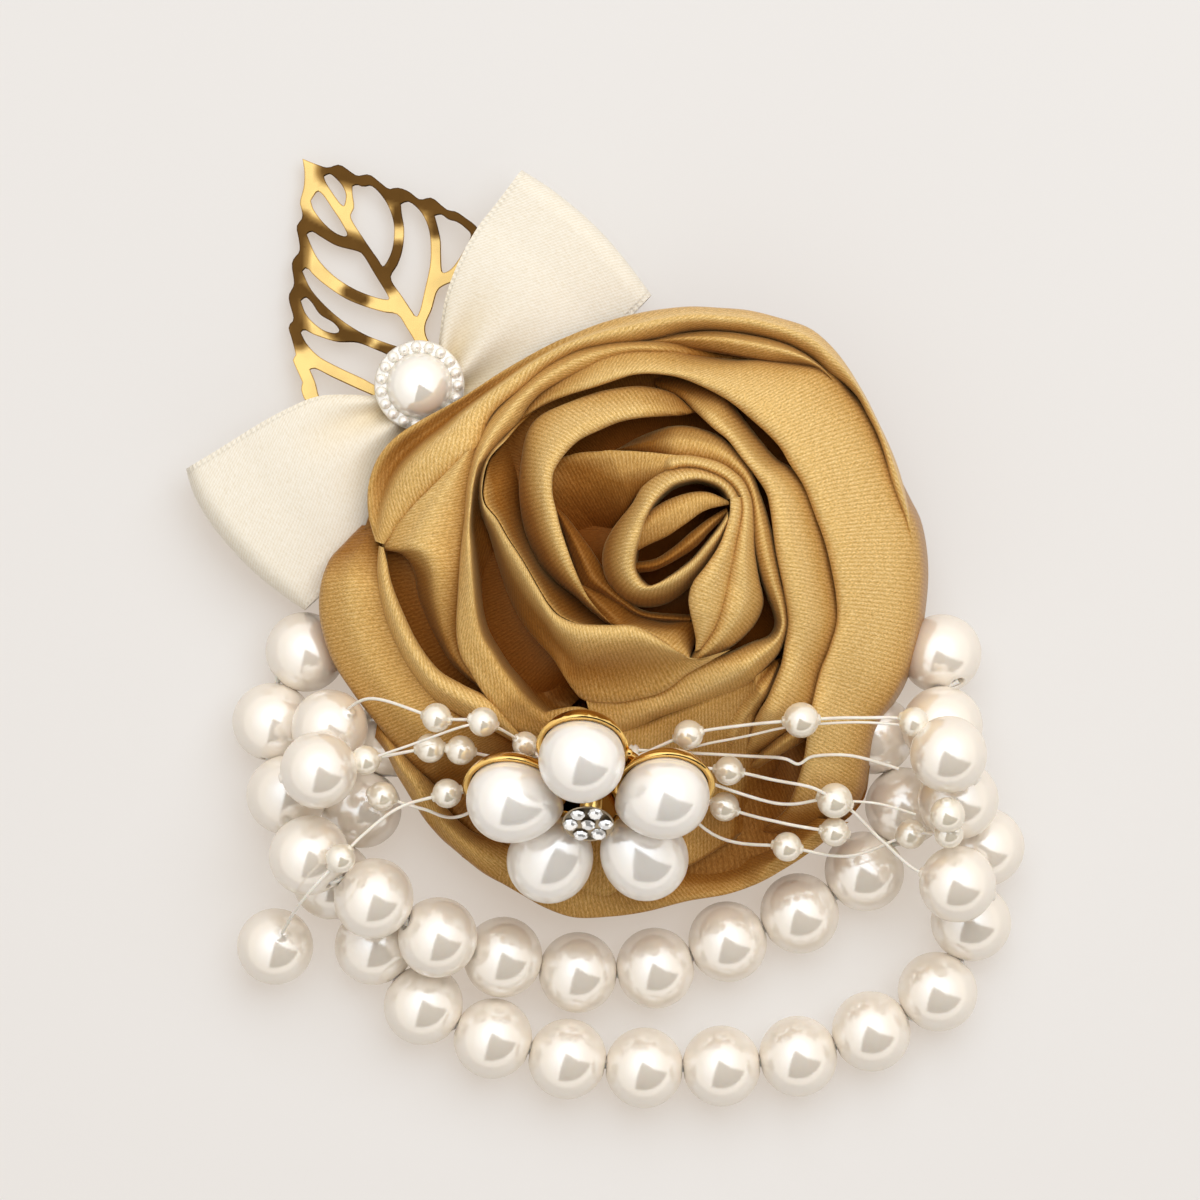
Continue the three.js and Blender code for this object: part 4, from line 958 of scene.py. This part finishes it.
def loopRows(loop):
    b = bowForm
    n, across = b["edgeSteps"], b["acrossSteps"]
    upper, lower = (smoothLine(onView(b, loop[edge]), n) for edge in ("upper", "lower"))
    end = smoothLine(onView(b, loop["end"]), across)
    pinch = [upper[0].lerp(lower[0], j / across) for j in range(across + 1)]

    def spot(s, j):
        # a patch between the two long edges, the pinch and the fold at the loop's end
        t, k = j / across, s * n
        i = min(int(k), n - 1)
        u, v = upper[i].lerp(upper[i + 1], k - i), lower[i].lerp(lower[i + 1], k - i)
        corners = (upper[0].lerp(lower[0], t)).lerp(upper[-1].lerp(lower[-1], t), s)
        return u.lerp(v, t) + pinch[j].lerp(end[j], s) - corners

    def rise(s):
        swell = math.sin(min(1, b["riseSpeed"] * s) * math.pi * b["riseTurn"])
        return b["pinchRise"] + (b["loopRise"] - b["pinchRise"]) * swell

    # stations along the ribbon: share of the loop, height, and how much of the creases it takes
    steps, turn = b["alongSteps"], b["turnSteps"]
    flat = 1 - b["foldReach"]
    half = rise(1) / 2
    stations = [(flat * i / steps, b["lift"] + rise(flat * i / steps), 1) for i in range(steps + 1)]
    for i in range(1, turn):
        angle = math.pi / 2 - math.pi * i / turn
        stations.append((flat + b["foldReach"] * math.cos(angle), b["lift"] + half * (1 + math.sin(angle)), 0.5))
    stations += [(flat * (1 - i / steps), b["lift"], 0) for i in range(steps + 1)]
    rows = []
    for s, z, top in stations:
        row = []
        for j in range(across + 1):
            side = 2 * j / across - 1
            crease = math.cos(side * b["creases"]) * max(0, b["creaseReach"] - s) ** 2 * b["creaseDepth"]
            crown = b["crown"] * (1 - side * side)
            row.append(Vector((*spot(s, j), z + top * (crown + crease))))
        rows.append(row)
    return rows


def selvedgeNearness(point, share):
    return abs(2 * share - 1)


def creaseShade(way, share):
    # warm shade in the creases near the pinch, fading along the loop
    s = way * (2 * bowForm["alongSteps"] + bowForm["turnSteps"]) / bowForm["alongSteps"]
    valley = 0.5 - 0.5 * math.cos((2 * share - 1) * bowForm["creases"])
    return max(0, 1 - s / bowForm["shadeReach"]) * (bowForm["shadeLeast"] + (1 - bowForm["shadeLeast"]) * valley)


bowMesh = bmesh.new()
for side in ("left", "right"):
    layCloth(bowMesh, loopRows(bowForm[side]), selvedgeNearness, shadeAt=creaseShade)
ribbon = addPiece("bow_ribbon_loops", bowMesh, ribbonSatin, "corsage", "bow_ribbon")

binding = dict(place=(-20.4, 27.2), turn=41.7, low=2.6, high=5.9, halfWidth=3.5, breadth=3.4, around=48, across=8,
               pleat=0.12, bulge=0.03, squareness=0.5)


def bindingRows():
    b = binding
    middle, tall = (b["low"] + b["high"]) / 2, (b["high"] - b["low"]) / 2
    turn = Matrix.Rotation(math.radians(b["turn"]), 3, "Z")
    rows = []
    for i in range(b["around"] + 1):
        angle = 2 * math.pi * i / b["around"]
        c, s = math.cos(angle), math.sin(angle)
        y = math.copysign(abs(c) ** b["squareness"], c) * b["halfWidth"]
        z = middle + math.copysign(abs(s) ** b["squareness"], s) * tall
        row = []
        for j in range(b["across"] + 1):
            x = (j / b["across"] - 0.5) * b["breadth"]
            pleat = b["pleat"] * math.cos(j * math.pi)
            row.append(turn @ Vector((x, y * (1 + b["bulge"] * pleat), z + pleat * s)) + Vector((*b["place"], 0)))
        rows.append(row)
    return rows


bindingMesh = bmesh.new()
layCloth(bindingMesh, bindingRows())
bmesh.ops.remove_doubles(bindingMesh, verts=bindingMesh.verts, dist=1e-6)
bindingPiece = addPiece("bow_binding_wrap", bindingMesh, ribbonSatin, "corsage", "bow_binding")
print("bow tied")

# Cabochon with its beaded rim

cabochon = dict(place=(-20.4, 27.2), foot=6.9, radius=4.6, dome=3.3, domeRise=0.8, domeSteps=16, base=0.9, sides=64,
                beads=19, bead=0.56, beadLift=0.22)


def cabochonMesh():
    c = cabochon
    foot, radius, steps = c["foot"], c["radius"], c["domeSteps"]
    top, height = foot + c["base"], c["domeRise"] * c["dome"]
    angles = [math.pi / 2 * i / steps for i in range(steps)]
    dome = [(c["dome"] * math.cos(angle), top + height * math.sin(angle)) for angle in angles] + [(0, top + height)]
    rim = [(0, foot), (radius - 0.5, foot), (radius - 0.1, foot + 0.3), (radius, top - 0.25),
           (radius - 0.25, top - 0.02), (c["dome"] + 0.1, top - 0.05)]
    bm = turned(rim + dome, c["sides"])
    ring = (radius + c["dome"]) / 2
    for i in range(c["beads"]):
        angle = 2 * math.pi * i / c["beads"]
        addBall(bm, (ring * math.cos(angle), ring * math.sin(angle), top + c["beadLift"]), c["bead"])
    bm.transform(Matrix.Translation(Vector((*c["place"], 0)) * mm))
    return bm


addPiece("bow_cabochon_button", cabochonMesh(), buttonPearl, "corsage", "bow_cabochon")
print("cabochon made")

# Stamped leaf: outline and openings traced on an enlarged view of the photograph

leafForm = dict(
    unitsPerPixel=6.03, cornerX=280, cornerY=140, height=2.05, half=0.12, edge=0.12, tipFall=0.75, dish=0.003,
    base=(-18.4, 28.6), turn=122.4, length=25.7, outlineSteps=190, openingSteps=56, strokeSteps=40, strokeSpread=1.7,
    cut=0.5, cutX=(-40, -10), cutY=(20, 55),
    outline=[(125, 95), (200, 125), (270, 145), (340, 128), (400, 165), (450, 195), (520, 188), (580, 230),
             (640, 275), (695, 268), (760, 290), (830, 340), (900, 330), (960, 375), (1000, 405), (1050, 415),
             (1110, 455), (1180, 515), (1230, 640), (1235, 780), (1190, 950), (1120, 1130), (1040, 1290), (985, 1400),
             (940, 1420), (860, 1470), (720, 1570), (560, 1640), (400, 1660), (240, 1630), (145, 1560), (115, 1480),
             (125, 1450), (65, 1310), (85, 1290), (60, 1185), (40, 1110), (70, 1060), (40, 930), (72, 850), (60, 720),
             (105, 650), (100, 570), (88, 500), (120, 450), (120, 400), (108, 350), (130, 260), (135, 170)],
    openings=[
        [(240, 190), (285, 172), (330, 205), (370, 255), (388, 310), (375, 375), (345, 365), (300, 305), (255, 235)],
        [(160, 340), (205, 280), (245, 300), (300, 380), (350, 455), (395, 540), (375, 565), (310, 540), (240, 480),
         (180, 400)],
        [(415, 250), (450, 238), (490, 250), (540, 245), (600, 300), (650, 380), (680, 480), (680, 580), (660, 670),
         (610, 750), (570, 700), (480, 570), (405, 445), (425, 380), (415, 300)],
        [(710, 360), (760, 340), (810, 370), (860, 430), (895, 520), (905, 620), (900, 740), (870, 880), (840, 1010),
         (812, 1060), (780, 1020), (720, 930), (648, 815), (690, 730), (720, 640), (730, 520), (715, 420)],
        [(915, 430), (965, 420), (1010, 450), (1060, 465), (1110, 500), (1150, 555), (1100, 660), (1040, 750),
         (990, 785), (962, 775), (955, 680), (950, 570)],
        [(1030, 830), (940, 880), (900, 1000), (860, 1100), (870, 1180), (920, 1240), (985, 1240), (1040, 1150),
         (1085, 1010), (1090, 900)],
        [(135, 545), (175, 522), (240, 560), (330, 610), (460, 645), (500, 680), (560, 780), (650, 930), (630, 950),
         (540, 930), (420, 880), (300, 800), (200, 690)],
        [(110, 770), (145, 742), (190, 790), (260, 850), (380, 930), (500, 980), (620, 1015), (700, 1030),
         (750, 1100), (815, 1225), (720, 1240), (600, 1205), (480, 1155), (360, 1080), (250, 985), (160, 880)],
        [(100, 950), (140, 925), (180, 960), (230, 1030), (310, 1080), (348, 1130), (320, 1155), (250, 1140),
         (180, 1090), (130, 1030)],
        [(100, 1145), (130, 1122), (200, 1155), (330, 1195), (450, 1200), (560, 1240), (650, 1285), (640, 1340),
         (600, 1430), (580, 1480), (480, 1430), (350, 1370), (220, 1300), (140, 1220)],
        [(155, 1370), (200, 1360), (300, 1410), (450, 1480), (560, 1530), (600, 1570), (520, 1610), (400, 1610),
         (290, 1590), (220, 1550), (190, 1450)],
    ],
    # strokes of painted dark reflection on the gold: half width, then points
    paintedDarkReflection=[(62, [(280, 160), (400, 180), (520, 225), (640, 290), (760, 320), (900, 360), (1020, 425), (1170, 520)]),
             (55, [(110, 470), (80, 720), (55, 920), (75, 1080), (95, 1180)]),
             (50, [(120, 480), (280, 560), (460, 620), (540, 690), (640, 840)]), (45, [(660, 760), (700, 640)]),
             (40, [(715, 360), (700, 450)]), (40, [(920, 400), (930, 520)]),
             (45, [(80, 860), (220, 1000), (350, 1150), (480, 1180)]), (38, [(600, 1255), (690, 1265)]),
             (36, [(400, 900), (480, 940)])],
)


def leafMesh():
    data = bpy.data.curves.new("leaf", "CURVE")
    data.dimensions = "2D"
    data.fill_mode = "BOTH"
    data.extrude = leafForm["half"] * mm
    data.bevel_depth = leafForm["edge"] * mm
    data.bevel_resolution = 2
    rings = [(leafForm["outline"], leafForm["outlineSteps"])]
    rings += [(opening, leafForm["openingSteps"]) for opening in leafForm["openings"]]
    for points, count in rings:
        ring = onView(leafForm, points)
        line = smoothLine(ring + ring[:1], count)[:-1]
        addSpline(data, [(point.x * mm, point.y * mm, 0) for point in line]).use_cyclic_u = True
    bm = curveMesh(data)
    bmesh.ops.remove_doubles(bm, verts=bm.verts, dist=1e-7)
    for edge in bm.edges:
        # crisp between the flat faces and the rounded rim
        edge.smooth = len({abs(face.normal.z) > 0.999 for face in edge.link_faces}) == 1
    for normal, (low, high) in ((Vector((1, 0, 0)), leafForm["cutX"]), (Vector((0, 1, 0)), leafForm["cutY"])):
        for step in range(int((high - low) / leafForm["cut"])):
            cutAcross(bm, normal * (low + step * leafForm["cut"]) * mm, normal)
    turn = math.radians(leafForm["turn"])
    way, across = Vector((math.cos(turn), math.sin(turn))), Vector((-math.sin(turn), math.cos(turn)))
    # painted dark reflection: each vertex darker the nearer it lies to a traced stroke
    paintedDarkReflection = bm.verts.layers.float.new("paintedDarkReflection")
    strokes = [(width / leafForm["unitsPerPixel"] * photoView["mmPerPixel"],
                smoothLine(onView(leafForm, points), leafForm["strokeSteps"])) for width, points in leafForm["paintedDarkReflection"]]
    for vert in bm.verts:
        near = [min((point - vert.co.xy / mm).length for point in line) / width for width, line in strokes]
        vert[paintedDarkReflection] = max(0, min(1, leafForm["strokeSpread"] - min(near)))
        spot = vert.co.xy / mm - Vector(leafForm["base"])
        share, side = spot.dot(way) / leafForm["length"], spot.dot(across)
        vert.co.z += (leafForm["height"] - leafForm["tipFall"] * share + leafForm["dish"] * side * side) * mm
    return bm


addPiece("stamped_leaf", leafMesh(), leafGold, "corsage", "gold_leaf")
print("leaf stamped")

# Brooch: five pearls in gold cups round a cluster of crystals, tilted on the slope of the rose

brooch = dict(place=(-2.98, -16.3, 19), tilt=47.5, roll=-4.5, spin=9, pitch=8.4, round=4.35, drop=4.3, tip=5.6,
              slimming=1.1, arcSteps=30, sides=40, gap=0.1, wall=0.5, cupLips=(-1.6, -1.6, -3.4, -3.4, -1.6),
              back=-5.2, hub=6, hubThickness=1.2, hubEdge=0.3, hubSides=48, stem=1.1, stemTop=0.7,
              ball=(4.6, 7.9, -1.3), ballRadius=0.42)
broochTurn = Euler((math.radians(brooch["tilt"]), 0, math.radians(brooch["roll"]))).to_matrix().to_4x4()
broochFrame = (Matrix.Translation(Vector(brooch["place"]) * mm) @ broochTurn
               @ Matrix.Rotation(math.radians(brooch["spin"]), 4, "Z"))


def petalBody(i, offset):
    # one petal's form grown by an offset, its tip turned to the middle of the ring
    steps = brooch["arcSteps"]
    radius, tip = (brooch["drop"], brooch["tip"]) if i else (brooch["round"], brooch["round"])
    profile = []
    for k in range(steps + 1):
        angle = math.pi * (k / steps - 0.5)
        upper = k > steps / 2
        pull = tip / radius if upper else 1
        slim = abs(math.cos(angle)) ** (1 + brooch["slimming"] * (tip / radius - 1) if upper else 1)
        profile.append((radius * slim + offset if k % steps else 0, math.sin(angle) * (radius * pull + offset)))
    angle = math.pi / 2 + 2 * math.pi * i / len(brooch["cupLips"])
    bm = turned(profile, brooch["sides"])
    reach = Vector((brooch["pitch"] * math.cos(angle), brooch["pitch"] * math.sin(angle), 0)) * mm
    bm.transform(Matrix.Translation(reach) @ Matrix.Rotation(angle, 4, "Z") @ Matrix.Rotation(-math.pi / 2, 4, "Y"))
    return bm


def cupMesh(i, lip):
    bm = petalBody(i, brooch["gap"])
    bmesh.ops.reverse_faces(bm, faces=bm.faces)
    join(bm, petalBody(i, brooch["gap"] + brooch["wall"]))
    cutAcross(bm, (0, 0, lip * mm), (0, 0, 1), clear_outer=True)
    bmesh.ops.bridge_loops(bm, edges=[edge for edge in bm.edges if edge.is_boundary])
    return bm


def hubProfile():
    hub, stem, edge, back = brooch["hub"], brooch["stem"], brooch["hubEdge"], brooch["back"]
    front, top = back + brooch["hubThickness"], brooch["stemTop"]
    return [(0, back), (hub - edge, back), (hub, back + edge), (hub, front - edge), (hub - edge, front),
            (stem + 0.3, front), (stem, front + 0.4), (stem, top), (0, top)]


settingMesh = bmesh.new()
for i, lip in enumerate(brooch["cupLips"]):
    join(settingMesh, cupMesh(i, lip))
    petal = addPiece(f"brooch_petal_{i + 1}", petalBody(i, 0), broochPearl, "corsage", f"brooch_pearl_{i + 1}")
    petal.data.transform(broochFrame)
join(settingMesh, turned(hubProfile(), brooch["hubSides"]))
addBall(settingMesh, brooch["ball"], brooch["ballRadius"])
settingMesh.transform(broochFrame)
addPiece("brooch_cups", settingMesh, gold, "corsage", "brooch_setting")

crystals = dict(foot=1.0, height=1.1, radius=2.65, sides=40, ring=6, stone=0.72, grown=1.08, facets=8, sunk=0.2,
                lean=0.12, leanStep=2.4, turnStep=0.7, moved=1.1)


def clusterMesh():
    c = crystals
    foot, radius = c["foot"], c["radius"]
    face = foot + c["height"]
    bm = turned([(0, foot), (brooch["stem"], foot), (radius - 0.15, face - 0.15), (radius, face),
                 (radius - 0.15, face + 0.08), (radius - 0.3, face - 0.05), (0, face - 0.05)], c["sides"])
    for wall in bm.faces:
        wall.material_index = 1
    size = c["stone"] * c["grown"]
    cut = [(0, 0.1), (size, 0.28), (size * 0.98, 0.34), (size * 0.78, 0.56), (size * 0.48, 0.7), (0, 0.7)]
    for i in range(c["ring"] + 1):
        angle = 2 * math.pi * i / c["ring"]
        away = 0 if i == c["ring"] else radius - c["stone"] - 0.15
        stone = turned(cut, c["facets"])
        lean = c["lean"] * math.cos(c["leanStep"] * i), c["lean"] * math.sin(c["leanStep"] * i), c["turnStep"] * i
        stone.transform(Euler(lean).to_matrix().to_4x4())
        for part in (*stone.edges, *stone.faces):
            part.smooth = False
        place = Vector((away * math.cos(angle), away * math.sin(angle), face - c["sunk"]))
        join(bm, stone, Matrix.Translation(place * mm))
    return bm


cluster = clusterMesh()
cluster.transform(broochFrame @ Matrix.Translation((0, crystals["moved"] * mm, 0)))
flatFacets = [not face.material_index for face in cluster.faces]
clusterPiece = addPiece("crystal_cluster", cluster, crystal, "corsage", "brooch_crystals")
clusterPiece.data.materials.append(bronze)
for polygon, isFlat in zip(clusterPiece.data.polygons, flatFacets):
    polygon.use_smooth = not isFlat
print("brooch set")

# Sprays: nylon lines with moulded pearls, bound together behind the brooch

sprayForm = dict(width=0.34, branchWidth=0.8, stepsPerPoint=14, branchSteps=30, arcSteps=20, collar=0.55,
                 collarShare=0.34, largeFrom=3, largeSides=36, smallSides=24)
sprays = dict(
    left_upper=dict(
        line=[(-7.8, -11, 14.6), (-9.6, -9.2, 14.4), (-13.8, -6.9, 18.1), (-18.5, -6.5, 16.3), (-25.4, -4.6, 14.4),
              (-29.5, -7.6, 9.3)],
        seeds=[(1, 1.3), (2, 1.5), (3, 1.5), (5, 3.9)]),
    left_middle=dict(
        line=[(-7.8, -10.4, 14.1), (-12, -10.6, 12.9), (-16.1, -9.8, 15), (-19.2, -9.6, 14.6), (-25.7, -10.8, 15.4),
              (-30.4, -11.8, 16)],
        seeds=[(2, 1.5), (3, 1.5), (4, 1.5), (5, 3.9)],
        branch=[(-25.7, -10.8, 15.4), (-21, -9.2, 16.8), (-16.6, -7.6, 18.4), (-14.4, -7, 18.1)]),
    left_short=dict(
        line=[(-7.7, -10.9, 13.5), (-15.7, -16.4, 10.8), (-20, -15.8, 11.5), (-24.1, -14.5, 12.6)],
        seeds=[(3, 1.5)]),
    left_lower=dict(
        line=[(-7.7, -11.5, 14), (-17.5, -14.2, 13), (-22.3, -15.6, 14.9), (-26, -18.4, 15.5), (-28.2, -20.7, 16.2),
              (-32.4, -25.4, 14.6), (-35.2, -30, 4)],
        seeds=[(1, 1.5), (4, 1.5), (6, 3.9)]),
    right_upper=dict(
        line=[(1.8, -10.4, 15.2), (6.9, -8.2, 16.7), (12, -7.3, 17.8), (18.2, -6.7, 19.5), (24, -6.5, 17.2),
              (29.6, -6.9, 17), (33.1, -10.2, 17)],
        seeds=[(1, 1.5), (3, 1.8), (5, 1.5), (6, 3.9)],
        branch=[(29.4, -7.3, 16.9), (24, -6.95, 17.1), (18.4, -7.2, 19), (16.3, -7.5, 18.4), (12.5, -8.4, 16.9),
                (8.5, -9.2, 15.7), (5, -10.2, 15)]),
    right_curl=dict(
        seeds=[],
        line=[(1.8, -9.8, 14.7), (12.5, -10.4, 13.1), (16.4, -10.6, 15.4), (18, -11.2, 15.2), (19.6, -10.4, 15),
              (23.5, -10.4, 13.5), (28.2, -11.7, 14.2)]),
    right_middle=dict(
        line=[(1.8, -10.9, 14.7), (11, -11.9, 13.5), (15.5, -12.8, 15.2), (19.2, -13.5, 16.4), (21.2, -14.5, 15.4)],
        seeds=[(1, 1.5)]),
    right_long=dict(
        line=[(1.8, -10.4, 14.1), (15.2, -15.1, 12.8), (21.7, -14.9, 14.6), (26.3, -18.8, 12.6), (30, -22, 12.4),
              (34.2, -23.4, 12)],
        seeds=[(2, 1.8), (5, 3.9)],
        branch=[(21.7, -14.9, 14.6), (26, -15.2, 14.1), (29.9, -16.3, 14.4)]),
    right_short=dict(
        line=[(1.9, -11.5, 14.1), (10.6, -15.6, 10.8), (16.5, -17.2, 13.6), (21.7, -18.1, 12.7)],
        seeds=[(1, 1.5), (3, 1.5)]),
    right_lower=dict(
        line=[(1.9, -10.9, 13.6), (9.4, -18.4, 9.5), (16.9, -19.6, 13.2), (23.3, -20.6, 10.4), (29.5, -18.4, 10.6),
              (33.2, -18.2, 15.6), (33, -16.3, 17)],
        seeds=[(2, 1.5), (4, 1.5), (5, 1.5), (6, 1.8)]),
)


def seedProfile(radius):
    # a moulded pearl on its line, with a small collar at each end
    collar = min(sprayForm["collar"], radius * sprayForm["collarShare"])
    tilt = math.acos(collar / radius)
    end = radius * math.sin(tilt)
    top = [(collar * 0.9, end + 0.18), (collar * 0.5, end + 0.26), (0, end + 0.26)]
    return withBothEnds(ballArc(radius, radius, tilt, sprayForm["arcSteps"]), top)


def sprayMesh(line, seeds, branch=None):
    s = sprayForm
    points = [Vector(p) for p in line]
    bm = tubeAlong(smoothLine(points, s["stepsPerPoint"] * len(points)), s["width"])
    if branch:
        twig = smoothLine([Vector(p) for p in branch], s["branchSteps"])
        join(bm, tubeAlong(twig, s["width"] * s["branchWidth"]))
    for index, radius in seeds:
        way = points[min(index + 1, len(points) - 1)] - points[index - 1]
        sides, materialIndex = (s["largeSides"], 2) if radius > s["largeFrom"] else (s["smallSides"], 1)
        place = Matrix.Translation(points[index] * mm) @ standing(way)
        join(bm, turned(seedProfile(radius), sides), place, materialIndex)
    return bm


for name, spray in sprays.items():
    piece = addPiece(f"spray_{name}_line", sprayMesh(**spray), nylon, "corsage", f"spray_{name}")
    piece.data.materials.append(seedPearl)
    piece.data.materials.append(pearl)

thread = dict(half=4.5, radius=1.4, wound=1.55, ridge=0.15, turns=45, pitch=0.2, below=-7.2, sides=28)


def threadProfile():
    t = thread
    wound = [(t["wound"] + t["ridge"] * (k % 2), -t["half"] + 0.1 + t["pitch"] * k) for k in range(t["turns"])]
    return [(0, -t["half"]), (t["radius"], -t["half"])] + wound + [(t["radius"], t["half"]), (0, t["half"])]


bindingThread = turned(threadProfile(), thread["sides"])
bindingThread.transform(broochFrame @ Matrix.Translation((0, 0, thread["below"] * mm))
                        @ Matrix.Rotation(math.pi / 2, 4, "Y"))
addPiece("spray_thread", bindingThread, nylon, "corsage", "spray_binding")
print("sprays set")

# Floor and world

floorForm = dict(half=3, below=0.0001, colour=(0.8, 0.78, 0.765, 1), roughness=0.9, seen=(0.35, 0.41, 0.47, 1),
                 glow=(0.485, 0.4, 0.325, 1))
studio = dict(colour=(1, 0.95, 0.88, 1), light=0.52, reflected=1.15)


def addFloor():
    bm = bmesh.new()
    bmesh.ops.create_grid(bm, x_segments=2, y_segments=2, size=floorForm["half"])
    floor = linked("floor", meshFrom("floor", bm))
    floor.location.z = cadBox[0][2] - floorForm["below"]
    # the camera and reflections see the same floor with a warm, lighter shadow
    material, nodes, links, shader = newFinish("pale floor")
    setInputs(shader, {"Base Color": floorForm["colour"], "Roughness": floorForm["roughness"]})
    cast = addNode(nodes, "ShaderNodeBsdfDiffuse", {"Color": floorForm["seen"]})
    glow = addNode(nodes, "ShaderNodeEmission", {"Color": floorForm["glow"]})
    seen = nodes.new("ShaderNodeAddShader")
    links.new(cast.outputs["BSDF"], seen.inputs[0])
    links.new(glow.outputs["Emission"], seen.inputs[1])
    path = nodes.new("ShaderNodeLightPath")
    direct = combined(nodes, links, "MAXIMUM", path.outputs["Is Camera Ray"], path.outputs["Is Glossy Ray"])
    either = nodes.new("ShaderNodeMixShader")
    links.new(direct, either.inputs["Fac"])
    links.new(shader.outputs["BSDF"], either.inputs[1])
    links.new(seen.outputs["Shader"], either.inputs[2])
    links.new(either.outputs["Shader"], nodes["Material Output"].inputs["Surface"])
    floor.data.materials.append(material)


def addWorld():
    world = bpy.data.worlds.new("studio")
    scene.world = world
    world.use_nodes = True
    nodes, links = world.node_tree.nodes, world.node_tree.links
    background = nodes["Background"]
    background.inputs["Color"].default_value = studio["colour"]
    path = nodes.new("ShaderNodeLightPath")
    level = addNode(nodes, "ShaderNodeMapRange", {"To Min": studio["light"], "To Max": studio["reflected"]})
    links.new(path.outputs["Is Glossy Ray"], level.inputs["Value"])
    links.new(level.outputs["Result"], background.inputs["Strength"])


addFloor()
addWorld()
print("floor and world set")
